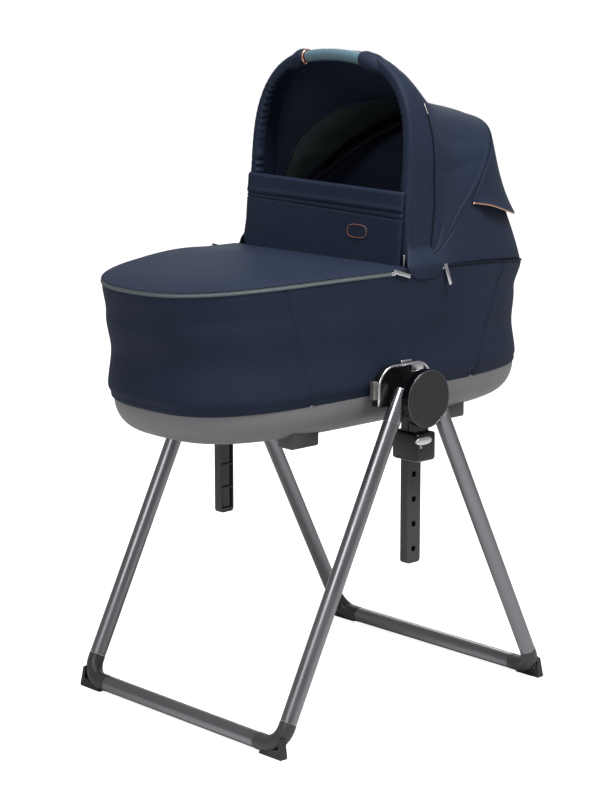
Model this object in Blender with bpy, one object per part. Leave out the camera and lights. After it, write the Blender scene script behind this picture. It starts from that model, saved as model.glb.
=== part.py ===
"""Carrycot with a folding height-adjustable stand.

The origin is on the floor, under the middle of the whole object. +X is the near side, -Y is the foot end of
the carrycot, +Y is the head end with the hood, and +Z is up. All sizes are in metres. Positions along Y are
counted from the stand's hubs, and CENTRE_SHIFT moves them all to the origin at the end.
Pieces that come in pairs are built once for +X and once mirrored for -X.
"""

from math import atan2, cos, exp, hypot, pi, radians, sin, sqrt

import bmesh
import bpy
from mathutils import Matrix, Vector

CENTRE_SHIFT = Vector((0, -0.016, 0))

# Clearances
GAP = 0.0004  # between fixed neighbours
RUNNING_GAP = 0.0008  # between pieces that pass each other

# Carrycot body, seen from above and from the side
RIM_HALF_WIDTH = 0.220
RIM_FRONT = 0.393
RIM_REAR = 0.426
RIM_POWER = 2.5
RIM_FRONT_DROP = 0.020
RIM_REAR_DROP = 0.035
HEM_SIDE_INSET = 0.014
HEM_FRONT_INSET = 0.025
HEM_REAR_INSET = 0.026
HEM_FRONT_DROP = 0.012
HEM_POWER = 2.95
SIDE_HEIGHT = 0.2005
FABRIC_WALL = 0.005
LINING_WALL = 0.003
PLAN_STEPS = 48
BULGE_HEIGHT = 0.10  # shares of the side's height
WAIST_HEIGHT = 0.365
SHOULDER_HEIGHT = 0.70
BULGE_SIDE_INSET = 0.0073
BULGE_FRONT_INSET = 0.0200
BULGE_REAR_INSET = 0.0275
WAIST_SIDE_INSET = 0.0104
WAIST_FRONT_INSET = 0.0230
WAIST_REAR_INSET = 0.0305
SHOULDER_SIDE_INSET = 0.0050
SHOULDER_FRONT_INSET = 0.0105
SHOULDER_REAR_INSET = 0.0230

# Lower shell
SHELL_DEPTH = 0.0490
SHELL_SETBACK = 0.003
SHELL_WALL = 0.003
SHELL_ROUND = ((0.0, 0.0), (0.27, 0.001), (0.58, 0.006), (0.85, 0.018), (1.0, 0.036))  # depth share, inset
BLOCK_SIZE = (0.036, 0.060, 0.046)
BLOCK_INSET = 0.044
BLOCK_FRONT_Y = 0.181
BLOCK_REAR_Y = 0.159
BLOCK_DROP = 0.0265

# Soft pieces of the body
MATTRESS_INSET = 0.038
MATTRESS_THICKNESS = 0.040
MATTRESS_EDGE = 0.010
ZIP_HEIGHT = 0.006
ZIP_THICKNESS = 0.0018
ZIP_BELOW_RIM = 0.0015
APRON_THICKNESS = 0.003
APRON_CROWN = 0.017
APRON_FULLNESS = 4
APRON_RISE_LENGTH = 0.19
APRON_REAR_Y = 0.0175
APRON_RINGS = 7
APRON_STEPS = 28

# Stand
HUB_HEIGHT = 0.542
HEM_ABOVE_HUB = 0.0055
LEG_ANGLE = radians(26.5)
PIVOT_OFFSET = 0.035
CROSS_HEIGHT = 0.016
TUBE_RADIUS = 0.0138
SLEEVE_RADIUS = 0.0142
SLEEVE_LENGTH = 0.058
TUBE_SIDES = 16
BEND_RADIUS = 0.034
ELBOW_LEG_END = 0.0075
ELBOW_CROSS_END = 0.018
FOOT_REACH = 0.010
FOOT_SETBACK = 0.0035
FOOT_INNER = 0.039
FOOT_OUTER = 0.0138
FOOT_RISE = 0.034

# Hub, from the inside outwards
DRUM_RADIUS = 0.0195
PLATE_RADIUS = 0.021
PLATE_THICKNESS = 0.0038
PLATE_GAP = 0.0005
PIN_RADIUS = 0.005
BEZEL_RADIUS = 0.048
BEZEL_WIDTH = 0.0025
COVER_THICKNESS = 0.0032
WEB_NEAR = 0.028
WEB_FAR = 0.041
WEB_TOP = 0.008
WEB_BOTTOM = 0.013

# Height post, its collar and lever
POST_DEPTH = 0.016
POST_HALF_WIDTH = 0.0155
POST_WALL = 0.0025
POST_LENGTH = 0.264
POST_BELOW_HUB = 0.016
HOLE_SIZE = 0.009
HOLE_PITCH = 0.042
HOLE_COUNT = 5
RIB_THICKNESS = 0.003
COLLAR_HALF_WIDTH = 0.0195
COLLAR_TAPER = 0.0035
COLLAR_HEIGHT = 0.0435
COLLAR_BELOW_HUB = 0.059
COLLAR_INNER_WALL = 0.0135
COLLAR_OUTER_WALL = 0.0265
NECK_HALF_WIDTH = 0.0145
LEVER_HEIGHT = 0.0095
LEVER_THICKNESS = 0.0043
LEVER_FRONT = 0.025
LEVER_REAR = 0.010
LEVER_STANDOFF = 0.0022
BOLT_RADIUS = 0.003

# Side mounts of the carrycot and the post heads inside them
MOUNT_DEPTH = 0.0168
MOUNT_HALF_LENGTH = 0.059
MOUNT_CENTRE_Y = -0.010
MOUNT_ABOVE_HUB = 0.0515
MOUNT_BELOW_HUB = 0.012
MOUNT_ROUND = 0.034
MOUNT_FRONT_WALL = 0.0044
HEAD_THICKNESS = 0.0092
HEAD_HALF_LENGTH = 0.030
HEAD_HEIGHT = 0.070
HEAD_ABOVE_HUB = 0.033
TRIM_THICKNESS = 0.0024
TRIM_WIDTH = 0.006
PAD_HALF_LENGTH = 0.012
PAD_WIDTH = 0.008
PAD_HEIGHT = 0.0065
PAD_TRAVEL = 0.003

# Hood
HINGE_Y = 0.058
HINGE_ABOVE_RIM = 0.017
EAR_RADIUS = 0.0163
HOOD_INSET = 0.0265
HOOD_FLARE = 0.012
HOOD_SIDE_HEIGHT = 0.152
HOOD_SIDE_SHARE = 0.22  # the share of the arch that each upright side takes
EAR_SHARES = (0.0114, 0.0228)
HOOD_RISE = 0.192
HOOD_POWER = 2.7
HOOD_SEAM_Y = 0.0905
SEAM_STEEPNESS = 4.6
MOUTH_Y = 0.0200
MOUTH_SLOPE = 0.08
SEAM_DROP = 0.015
SLEEVE_FOLD = 0.024
SLEEVE_DEPTH = 0.020
BAND_THICKNESS = 0.004
ARCH_SIDE_STEPS = 4
ARCH_TOP_STEPS = 16
HINGE_PIN_RADIUS = 0.0042
HINGE_PLATE_HALF_WIDTH = 0.009
HINGE_PLATE_THICKNESS = 0.0095
HINGE_PLATE_SPACE = 0.0038
HINGE_PLATE_DROP = 0.075
GRIP_HALF_LENGTH = 0.066
GRIP_RADIUS = 0.01175
GRIP_Y = 0.050
GRIP_DROP = 0.014
GRIP_BOW = 0.69
GRIP_RING_WIDTH = 0.004
GRIP_RING_RADIUS = 0.0130

# Canopy behind the band, in a fan about the hood's hinge
CANOPY_THICKNESS = 0.004
CREST_ANGLE = radians(36.5)
CREST_RADIUS = 0.3450
CREST_INSET = 0.015
CREST_POWER = 2.4
DIP_DEPTH = 0.049
LOWER_SAG = 0.030
CANOPY_STATIONS = 24
CANOPY_ROWS = 6
REAR_BOW_RADIUS = 0.0035
REAR_BOW_SPACE = 0.003
VENT_THICKNESS = 0.003
VENT_SPACE = 0.002
VENT_FLARE = 0.005
VENT_FIRST = 3  # the canopy's station where the flap's edge lies
VENT_ROWS = 5
VENT_LOW_ANGLE = 3.0
VENT_CORNER_RISE = 28.0
VENT_CORNER_REACH = 0.10

# Wind flap
FLAP_INSET = 0.0045
FLAP_HEIGHT = 0.121
FLAP_THICKNESS = 0.005
FLAP_PUFF = 0.0015
FLAP_BAND = 0.038
FLAP_FOLD_SPACING = 0.008

# Zip pulls
PULL_THICKNESS = 0.003
PULL_LENGTH = 0.036
PULL_WIDTH = 0.007
PULL_Y = (-0.030, 0.0885)
PULL_TILT = (radians(-73), radians(-20))

# Sizes that follow from those above
HEM_HEIGHT = HUB_HEIGHT + HEM_ABOVE_HUB
RIM_HEIGHT = HEM_HEIGHT + SIDE_HEIGHT
BLOCK_OUTER_X = RIM_HALF_WIDTH - BLOCK_INSET
MATTRESS_HALF_WIDTH = RIM_HALF_WIDTH - MATTRESS_INSET
SHELL_BOTTOM = HEM_HEIGHT - SHELL_DEPTH
MOUNT_BACK = RIM_HALF_WIDTH - BULGE_SIDE_INSET + GAP
MOUNT_FRONT = MOUNT_BACK + MOUNT_DEPTH
LEG_X = MOUNT_FRONT + RUNNING_GAP + SLEEVE_RADIUS
HEAD_TOP = HUB_HEIGHT + HEAD_ABOVE_HUB
HEAD_BOTTOM = HEAD_TOP - HEAD_HEIGHT
HEAD_OUTER = MOUNT_FRONT - MOUNT_FRONT_WALL - GAP
HEAD_INNER = HEAD_OUTER - HEAD_THICKNESS
POST_INNER = HEAD_OUTER + GAP
POST_OUTER = POST_INNER + POST_DEPTH
POST_TOP = HUB_HEIGHT - POST_BELOW_HUB
POST_BOTTOM = POST_TOP - POST_LENGTH
COLLAR_INNER = POST_INNER - COLLAR_INNER_WALL
COLLAR_OUTER = POST_OUTER + COLLAR_OUTER_WALL
COLLAR_TOP = HUB_HEIGHT - COLLAR_BELOW_HUB
COLLAR_BOTTOM = COLLAR_TOP - COLLAR_HEIGHT
DRUM_INNER = POST_OUTER + 0.001
DRUM_OUTER = LEG_X + SLEEVE_RADIUS
FRONT_PLATE_X = DRUM_OUTER + RUNNING_GAP
REAR_PLATE_X = FRONT_PLATE_X + PLATE_THICKNESS + PLATE_GAP
AXLE_PLATE_X = REAR_PLATE_X + PLATE_THICKNESS + PLATE_GAP
AXLE_PLATE_THICKNESS = 0.0014
COVER_X = AXLE_PLATE_X + AXLE_PLATE_THICKNESS + GAP
BOLT_HEIGHT = POST_BOTTOM + 0.024 + HOLE_PITCH * (HOLE_COUNT - 1)
LEG_LENGTH = (HUB_HEIGHT + PIVOT_OFFSET * sin(LEG_ANGLE) - CROSS_HEIGHT) / cos(LEG_ANGLE)
CORNER_Y = PIVOT_OFFSET * cos(LEG_ANGLE) + LEG_LENGTH * sin(LEG_ANGLE)
HINGE_Z = RIM_HEIGHT + HINGE_ABOVE_RIM
HOOD_BOTTOM = HINGE_Z - EAR_RADIUS
HOOD_HALF_WIDTH = RIM_HALF_WIDTH - HOOD_INSET
HOOD_SPRING_LINE = RIM_HEIGHT + HOOD_SIDE_HEIGHT
CREST_HALF_WIDTH = RIM_HALF_WIDTH - CREST_INSET
FLAP_HALF_WIDTH = HOOD_HALF_WIDTH - FLAP_INSET
FLAP_BOTTOM = RIM_HEIGHT + 2 * GAP + APRON_THICKNESS + GAP
FLAP_TOP = FLAP_BOTTOM + FLAP_HEIGHT
FLAP_FOLD = FLAP_TOP - FLAP_BAND
FLAP_HINGE_Y = MOUTH_Y - MOUTH_SLOPE * (HINGE_Z - FLAP_BOTTOM) - RUNNING_GAP - FLAP_THICKNESS

MATERIALS = {
    "navy_fabric": ((0.020, 0.035, 0.085, 1), 0.75, 0.0),
    "dark_lining": ((0.012, 0.014, 0.022, 1), 0.85, 0.0),
    "mattress_cloth": ((0.55, 0.56, 0.58, 1), 0.9, 0.0),
    "grey_shell": ((0.10, 0.10, 0.105, 1), 0.45, 0.0),
    "zip_grey": ((0.12, 0.15, 0.165, 1), 0.6, 0.0),
    "black_plastic": ((0.012, 0.012, 0.013, 1), 0.5, 0.0),
    "hub_grey": ((0.045, 0.045, 0.047, 1), 0.45, 0.0),
    "gunmetal": ((0.085, 0.085, 0.09, 1), 0.32, 0.85),
    "moulded_grey": ((0.07, 0.07, 0.073, 1), 0.5, 0.0),
    "silver": ((0.62, 0.62, 0.64, 1), 0.28, 1.0),
    "grip_teal": ((0.08, 0.13, 0.15, 1), 0.4, 0.0),
    "rose_gold": ((0.60, 0.36, 0.27, 1), 0.25, 1.0),
}


def clear_scene():
    for thing in list(bpy.data.objects):
        bpy.data.objects.remove(thing)


def material(name):
    found = bpy.data.materials.get(name)
    if found:
        return found
    colour, roughness, metallic = MATERIALS[name]
    made = bpy.data.materials.new(name)
    made.use_nodes = True
    shader = made.node_tree.nodes["Principled BSDF"]
    shader.inputs["Base Color"].default_value = colour
    shader.inputs["Roughness"].default_value = roughness
    shader.inputs["Metallic"].default_value = metallic
    made.diffuse_color = colour
    return made


def axis_empty(name, place):
    """The carrier of a moving group, with its origin on the group's joint axis."""
    carrier = bpy.data.objects.new(name, None)
    carrier.location = Vector(place) + CENTRE_SHIFT
    bpy.context.scene.collection.objects.link(carrier)
    return carrier


def finish(name, bm, surface, carrier=None, side=1):
    """Turn a bmesh in world coordinates into the node's object, mirrored for the far side."""
    if side < 0:
        bmesh.ops.scale(bm, vec=(-1, 1, 1), verts=bm.verts)
    bmesh.ops.recalc_face_normals(bm, faces=bm.faces)
    mesh = bpy.data.meshes.new(name)
    place = carrier.location if carrier else Vector((0, 0, 0))
    bmesh.ops.translate(bm, vec=CENTRE_SHIFT - place, verts=bm.verts)
    bm.to_mesh(mesh)
    bm.free()
    mesh.shade_smooth()
    mesh.set_sharp_from_angle(angle=radians(35))
    made = bpy.data.objects.new(name, mesh)
    made.data.materials.append(material(surface))
    bpy.context.scene.collection.objects.link(made)
    if carrier:
        made.parent = carrier
    return made


def combine(target, bm, operation, side=1):
    """Cut a bmesh from the node, or join it to the node, with an exact Boolean."""
    tool = finish(target.name + "_tool", bm, "black_plastic", target.parent, side)
    tool.hide_render = True
    tool.display_type = "WIRE"
    step = target.modifiers.new(operation.lower(), "BOOLEAN")
    step.operation = operation
    step.object = tool
    step.solver = "EXACT"
    return tool


def add_plan_cap(bm, ring):
    """Close a ring of the body with strips that run straight across it."""
    count = len(ring)
    for i in range(-count // 4, count // 4):
        low, high = i % count, (i + 1) % count
        low_far, high_far = (count // 2 - i) % count, (count // 2 - i - 1) % count
        corners = [ring[low], ring[high], ring[high_far], ring[low_far]]
        bm.faces.new(list(dict.fromkeys(corners)))


def add_rings(bm, rings, close=False, plan_caps=False):
    """Skin a list of point rings: capped at both ends, or closed on itself."""
    rows = [[bm.verts.new(point) for point in ring] for ring in rings]
    pairs = list(zip(rows, rows[1:]))
    if close:
        pairs.append((rows[-1], rows[0]))
    for low, high in pairs:
        for i in range(len(low)):
            j = (i + 1) % len(low)
            bm.faces.new((low[i], low[j], high[j], high[i]))
    if plan_caps:
        add_plan_cap(bm, rows[0])
        add_plan_cap(bm, rows[-1])
    elif not close:
        bm.faces.new(rows[0])
        bm.faces.new(rows[-1])


def rings_mesh(rings, close=False, plan_caps=False):
    bm = bmesh.new()
    add_rings(bm, rings, close, plan_caps)
    return bm


def sheet_mesh(outer, inner):
    """A closed sheet between two equal grids of points."""
    bm = bmesh.new()
    top = [[bm.verts.new(point) for point in row] for row in outer]
    back = [[bm.verts.new(point) for point in row] for row in inner]
    rows, columns = len(top), len(top[0])
    for i in range(rows - 1):
        for j in range(columns - 1):
            bm.faces.new((top[i][j], top[i][j + 1], top[i + 1][j + 1], top[i + 1][j]))
            bm.faces.new((back[i][j], back[i + 1][j], back[i + 1][j + 1], back[i][j + 1]))
    border = [(0, j) for j in range(columns)]
    border += [(i, columns - 1) for i in range(1, rows)]
    border += [(rows - 1, j) for j in range(columns - 2, -1, -1)]
    border += [(i, 0) for i in range(rows - 2, 0, -1)]
    for here, after in zip(border, border[1:] + border[:1]):
        a, b = top[here[0]][here[1]], top[after[0]][after[1]]
        c, d = back[after[0]][after[1]], back[here[0]][here[1]]
        bm.faces.new((a, d, c, b))
    return bm


def box_mesh(low, high, bevel=0.0, segments=2):
    bm = bmesh.new()
    size = [high[i] - low[i] for i in range(3)]
    centre = [(high[i] + low[i]) / 2 for i in range(3)]
    bmesh.ops.create_cube(bm, size=1.0)
    bmesh.ops.scale(bm, vec=size, verts=bm.verts)
    bmesh.ops.translate(bm, vec=centre, verts=bm.verts)
    if bevel:
        bmesh.ops.bevel(
            bm, geom=bm.edges[:], offset=bevel, segments=segments, profile=0.5, affect="EDGES"
        )
    return bm


def disc_mesh(centre, radius, start, end, sides=32):
    """A cylinder along X between two x positions, round a centre given as (y, z)."""
    rings = []
    for x in (start, end):
        ring = []
        for i in range(sides):
            angle = 2 * pi * i / sides
            ring.append((x, centre[0] + radius * cos(angle), centre[1] + radius * sin(angle)))
        rings.append(ring)
    return rings_mesh(rings)


def prism_mesh(outline, start, end):
    """An outline in (y, z), extruded along X."""
    return rings_mesh([[(x, y, z) for y, z in outline] for x in (start, end)])


def tube_mesh(path, radius, sides=TUBE_SIDES):
    """A round tube along a path of points, with square ends."""
    path = [Vector(point) for point in path]
    rings = []
    side_axis = None
    for i, point in enumerate(path):
        ahead = (path[min(i + 1, len(path) - 1)] - path[max(i - 1, 0)]).normalized()
        if side_axis is None:
            helper = Vector((0, 0, 1)) if abs(ahead.z) < 0.9 else Vector((1, 0, 0))
            side_axis = ahead.cross(helper).normalized()
        side_axis = (side_axis - ahead * side_axis.dot(ahead)).normalized()
        other = ahead.cross(side_axis)
        ring = []
        for k in range(sides):
            angle = 2 * pi * k / sides
            ring.append(point + radius * (cos(angle) * side_axis + sin(angle) * other))
        rings.append(ring)
    return rings_mesh(rings)


def smooth(share):
    share = min(max(share, 0.0), 1.0)
    return share * share * (3 - 2 * share)


def mix(a, b, share):
    return a + (b - a) * share


def power_wave(value, power):
    """Signed cosine or sine raised to the superellipse's exponent."""
    return (1 if value >= 0 else -1) * abs(value) ** (2 / power)


def side_insets(height):
    """How far the body is drawn in at a height share between hem and rim: side, front and rear."""
    marks = (
        (0.0, (HEM_SIDE_INSET, HEM_FRONT_INSET, HEM_REAR_INSET)),
        (BULGE_HEIGHT, (BULGE_SIDE_INSET, BULGE_FRONT_INSET, BULGE_REAR_INSET)),
        (WAIST_HEIGHT, (WAIST_SIDE_INSET, WAIST_FRONT_INSET, WAIST_REAR_INSET)),
        (SHOULDER_HEIGHT, (SHOULDER_SIDE_INSET, SHOULDER_FRONT_INSET, SHOULDER_REAR_INSET)),
        (1.0, (0.0, 0.0, 0.0)),
    )
    for (low, first), (high, second) in zip(marks, marks[1:]):
        if height <= high:
            share = smooth((height - low) / (high - low))
            return [mix(a, b, share) for a, b in zip(first, second)]
    return [0.0, 0.0, 0.0]


def rim_height(y):
    """The rim sinks a little towards both ends."""
    if y > 0:
        return RIM_HEIGHT - RIM_REAR_DROP * (y / RIM_REAR) ** 2
    return RIM_HEIGHT - RIM_FRONT_DROP * (y / RIM_FRONT) ** 2


def hem_drop(y):
    """The hem and the shell sink a little towards the foot end."""
    return HEM_FRONT_DROP * (y / RIM_FRONT) ** 2 if y < 0 else 0.0


def plan_point(angle, half_width, front, rear, power):
    x = half_width * power_wave(cos(angle), power)
    y = (rear if sin(angle) > 0 else front) * power_wave(sin(angle), power)
    return x, y


def side_ring(height, inset):
    """One level of the fabric side, drawn in by an extra inset."""
    side_inset, front_inset, rear_inset = side_insets(height)
    half_width = RIM_HALF_WIDTH - side_inset - inset
    front = RIM_FRONT - front_inset - inset
    rear = RIM_REAR - rear_inset - inset
    power = mix(HEM_POWER, RIM_POWER, height)
    ring = []
    for i in range(PLAN_STEPS):
        x, y = plan_point(2 * pi * i / PLAN_STEPS, half_width, front, rear, power)
        ring.append((x, y, mix(HEM_HEIGHT - hem_drop(y), rim_height(y), height)))
    return ring


def shell_ring(z, inset):
    """One level of the lower shell."""
    inset = inset + SHELL_SETBACK
    half_width = RIM_HALF_WIDTH - HEM_SIDE_INSET - inset
    front = RIM_FRONT - HEM_FRONT_INSET - inset
    rear = RIM_REAR - HEM_REAR_INSET - inset
    ring = []
    for i in range(PLAN_STEPS):
        x, y = plan_point(2 * pi * i / PLAN_STEPS, half_width, front, rear, HEM_POWER)
        ring.append((x, y, z - hem_drop(y)))
    return ring


def shell_rings(grow, floor):
    """The shell's rounded underside from its top edge down, moved in by a wall and stopped at a floor."""
    rings = []
    for depth, inset in SHELL_ROUND:
        z = mix(HEM_HEIGHT - GAP, floor, depth)
        rings.append(shell_ring(z, inset + grow))
    return rings


def side_levels():
    """Height shares of the body's rings: each mark and the middle between two marks."""
    marks = (0.0, BULGE_HEIGHT, WAIST_HEIGHT, SHOULDER_HEIGHT, 1.0)
    levels = [0.0]
    for low, high in zip(marks, marks[1:]):
        levels += [(low + high) / 2, high]
    return levels


def build_body():
    outer = [side_ring(height, 0.0) for height in side_levels()]
    inner = [side_ring(height, FABRIC_WALL) for height in reversed(side_levels())]
    finish("side_fabric", rings_mesh(outer + inner, close=True), "navy_fabric", COT)

    shell_outer = list(reversed(shell_rings(0.0, SHELL_BOTTOM)))
    shell_inner = shell_rings(SHELL_WALL, SHELL_BOTTOM + SHELL_WALL)
    finish("tub_shell", rings_mesh(shell_outer + shell_inner, plan_caps=True), "grey_shell", COT)

    floor = SHELL_BOTTOM + SHELL_WALL + GAP
    skin = SHELL_WALL + GAP
    lining_outer = list(reversed(shell_rings(skin, floor)))
    lining_outer += [side_ring(height, FABRIC_WALL + GAP) for height in side_levels()]
    wall = FABRIC_WALL + GAP + LINING_WALL
    lining_inner = [side_ring(height, wall) for height in (1.0, SHOULDER_HEIGHT, WAIST_HEIGHT, 0.0)]
    lining_inner += shell_rings(skin + LINING_WALL, floor + LINING_WALL)[1:]
    finish("lining", rings_mesh(lining_outer + lining_inner, plan_caps=True), "dark_lining", COT)

    seat = floor + LINING_WALL + GAP
    rings = []
    marks = ((0.0, 0.034), (0.3, 0.006), (0.55, 0.0), (0.8, 0.004), (0.92, 0.02), (1.0, 0.07))
    for height, inset in marks:
        half_width = MATTRESS_HALF_WIDTH - inset
        front = RIM_FRONT - HEM_FRONT_INSET - MATTRESS_EDGE - FABRIC_WALL - LINING_WALL - inset
        rear = RIM_REAR - HEM_REAR_INSET - MATTRESS_EDGE - FABRIC_WALL - LINING_WALL - inset
        ring = []
        for i in range(PLAN_STEPS):
            x, y = plan_point(2 * pi * i / PLAN_STEPS, half_width, front, rear, HEM_POWER)
            ring.append((x, y, seat - hem_drop(y) + height * MATTRESS_THICKNESS))
        rings.append(ring)
    finish("mattress", rings_mesh(rings, plan_caps=True), "mattress_cloth", COT)

    height_low = 1 - (ZIP_BELOW_RIM + ZIP_HEIGHT) / SIDE_HEIGHT
    height_high = 1 - ZIP_BELOW_RIM / SIDE_HEIGHT
    band = [
        side_ring(height_low, -GAP),
        side_ring(height_low, -GAP - ZIP_THICKNESS),
        side_ring(height_high, -GAP - ZIP_THICKNESS),
        side_ring(height_high, -GAP),
    ]
    finish("zip_band", rings_mesh(band, close=True), "zip_grey", COT)


def apron_grid(drop):
    """The padded cover over the foot half: from the middle of its rear edge out to the rim."""
    half_width = RIM_HALF_WIDTH - 0.001
    front = RIM_FRONT - 0.001 + APRON_REAR_Y
    rows = []
    for k in range(APRON_RINGS + 1):
        share = mix(0.04, 1.0, sin(pi / 2 * k / APRON_RINGS))
        row = []
        for i in range(APRON_STEPS + 1):
            angle = -pi + pi * i / APRON_STEPS
            x, y = plan_point(angle, half_width * share, front * share, front * share, RIM_POWER)
            y += APRON_REAR_Y
            rise = APRON_CROWN * (1 - share**APRON_FULLNESS) * smooth((APRON_REAR_Y - y) / APRON_RISE_LENGTH)
            row.append((x, y, rim_height(min(y, 0)) + 2 * GAP + rise + APRON_THICKNESS - drop))
        rows.append(row)
    return rows


def build_apron():
    finish("apron", sheet_mesh(apron_grid(0.0), apron_grid(APRON_THICKNESS)), "navy_fabric", COT)


def build_base_blocks():
    for name, side, y in (
        ("base_block_front_near", 1, -BLOCK_FRONT_Y),
        ("base_block_front_far", -1, -BLOCK_FRONT_Y),
        ("base_block_rear_near", 1, BLOCK_REAR_Y),
        ("base_block_rear_far", -1, BLOCK_REAR_Y),
    ):
        low = (BLOCK_OUTER_X - BLOCK_SIZE[0], y - BLOCK_SIZE[1] / 2, SHELL_BOTTOM - BLOCK_DROP)
        high = (BLOCK_OUTER_X, y + BLOCK_SIZE[1] / 2, low[2] + BLOCK_SIZE[2])
        block = finish(name, box_mesh(low, high, 0.004), "moulded_grey", COT, side)
        hollow = [shell_ring(HEM_HEIGHT + 0.01, -GAP)]
        hollow += [[(x, y, z - GAP) for x, y, z in ring] for ring in shell_rings(-GAP, SHELL_BOTTOM)]
        combine(block, rings_mesh(hollow, plan_caps=True), "DIFFERENCE", side)


def mount_outline(grow, bottom):
    """The D shape of a side mount in (y, z): upright ends and a rounded top."""
    half = MOUNT_HALF_LENGTH + grow
    top = HUB_HEIGHT + MOUNT_ABOVE_HUB + grow
    turn = MOUNT_ROUND + grow
    points = [(half, bottom)]
    for i in range(7):
        angle = pi / 2 * i / 6
        points.append((half - turn + turn * cos(angle), top - turn + turn * sin(angle)))
    points += [(-y, z) for y, z in reversed(points)]
    return [(y + MOUNT_CENTRE_Y, z) for y, z in points]


def build_side_mount(name, side):
    bottom = HUB_HEIGHT - MOUNT_BELOW_HUB
    mount = finish(
        "side_mount_" + name,
        prism_mesh(mount_outline(0.0, bottom), MOUNT_BACK, MOUNT_FRONT),
        "black_plastic",
        COT,
        side,
    )
    shell_side = RIM_HALF_WIDTH - HEM_SIDE_INSET - SHELL_SETBACK
    foot_half = MOUNT_HALF_LENGTH * 0.8
    foot_low = (shell_side + GAP, MOUNT_CENTRE_Y - foot_half, bottom)
    foot_high = (MOUNT_BACK + 0.002, MOUNT_CENTRE_Y + foot_half, HEM_HEIGHT - hem_drop(foot_low[1]) - 2 * GAP)
    combine(mount, box_mesh(foot_low, foot_high), "UNION", side)
    pocket_low = (HEAD_INNER - GAP, -HEAD_HALF_LENGTH - GAP, bottom - 0.01)
    pocket_high = (HEAD_OUTER + GAP, HEAD_HALF_LENGTH + GAP, HEAD_TOP + GAP)
    combine(mount, box_mesh(pocket_low, pocket_high), "DIFFERENCE", side)
    top = HUB_HEIGHT + MOUNT_ABOVE_HUB
    pad_x = MOUNT_BACK + 0.0015
    well_low = (pad_x - GAP, -PAD_HALF_LENGTH - GAP, top - PAD_TRAVEL - 2 * GAP)
    well_high = (pad_x + PAD_WIDTH + GAP, PAD_HALF_LENGTH + GAP, top + 0.01)
    combine(mount, box_mesh(well_low, well_high), "DIFFERENCE", side)

    ring = mount_outline(GAP + TRIM_THICKNESS, bottom)
    hollow = mount_outline(GAP, bottom - 0.001)
    trim = finish(
        "mount_trim_" + name,
        prism_mesh(ring, MOUNT_FRONT - TRIM_WIDTH, MOUNT_FRONT),
        "silver",
        COT,
        side,
    )
    combine(
        trim,
        prism_mesh(hollow, MOUNT_FRONT - TRIM_WIDTH - 0.001, MOUNT_FRONT + 0.001),
        "DIFFERENCE",
        side,
    )

    carrier = axis_empty("release_pad_axis_" + name, (side * (pad_x + PAD_WIDTH / 2), 0, top))
    low = (pad_x, -PAD_HALF_LENGTH, top - GAP)
    high = (pad_x + PAD_WIDTH, PAD_HALF_LENGTH, top - GAP + PAD_HEIGHT)
    finish("release_pad_" + name, box_mesh(low, high, 0.0015), "silver", carrier, side)


def leg_frame(end):
    """Direction down the leg, and the point beside the hub where its axis starts."""
    down = Vector((0, end * sin(LEG_ANGLE), -cos(LEG_ANGLE)))
    across = Vector((0, end * cos(LEG_ANGLE), sin(LEG_ANGLE)))
    start = Vector((LEG_X, 0, HUB_HEIGHT)) + across * PIVOT_OFFSET
    return down, across, start


def build_arm(name, side, end, plate_x, carrier):
    """Sleeve round the top of the leg, with the plate that turns on the hub's axle."""
    down, across, start = leg_frame(end)
    sleeve = [start, start + down * SLEEVE_LENGTH]
    arm = finish(name, tube_mesh(sleeve, SLEEVE_RADIUS, 20), "gunmetal", carrier, side)
    hub = Vector((0, 0, HUB_HEIGHT))
    corners = (
        across * WEB_FAR - down * -WEB_BOTTOM,
        across * WEB_FAR + down * 0.0005,
        across * WEB_NEAR + down * 0.0005,
        across * WEB_NEAR + down * WEB_BOTTOM,
    )
    web = [((hub + corner).y, (hub + corner).z) for corner in corners]
    combine(
        arm, prism_mesh(web, LEG_X + SLEEVE_RADIUS * 0.75, plate_x + PLATE_THICKNESS), "UNION", side
    )
    tongue = []
    for i in range(13):
        angle = pi / 2 + pi * i / 12
        spot = hub + PLATE_RADIUS * (cos(angle) * across + sin(angle) * down)
        tongue.append((spot.y, spot.z))
    for corner in (across * WEB_FAR - down * WEB_TOP, across * WEB_FAR + down * WEB_BOTTOM):
        tongue.append(((hub + corner).y, (hub + corner).z))
    combine(arm, prism_mesh(tongue, plate_x, plate_x + PLATE_THICKNESS), "UNION", side)
    bore = disc_mesh((0, HUB_HEIGHT), PIN_RADIUS + GAP, DRUM_INNER, AXLE_PLATE_X + 0.002, 20)
    combine(arm, bore, "DIFFERENCE", side)


def elbow_path(end):
    down, across, start = leg_frame(end)
    corner = start + down * LEG_LENGTH
    out = Vector((1, 0, 0))
    centre = corner - down * BEND_RADIUS - out * BEND_RADIUS
    path = [corner - down * (BEND_RADIUS + ELBOW_LEG_END)]
    for i in range(9):
        angle = pi / 2 * i / 8
        path.append(centre + BEND_RADIUS * (cos(angle) * out + sin(angle) * down))
    path.append(corner - out * (BEND_RADIUS + ELBOW_CROSS_END))
    return path


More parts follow.
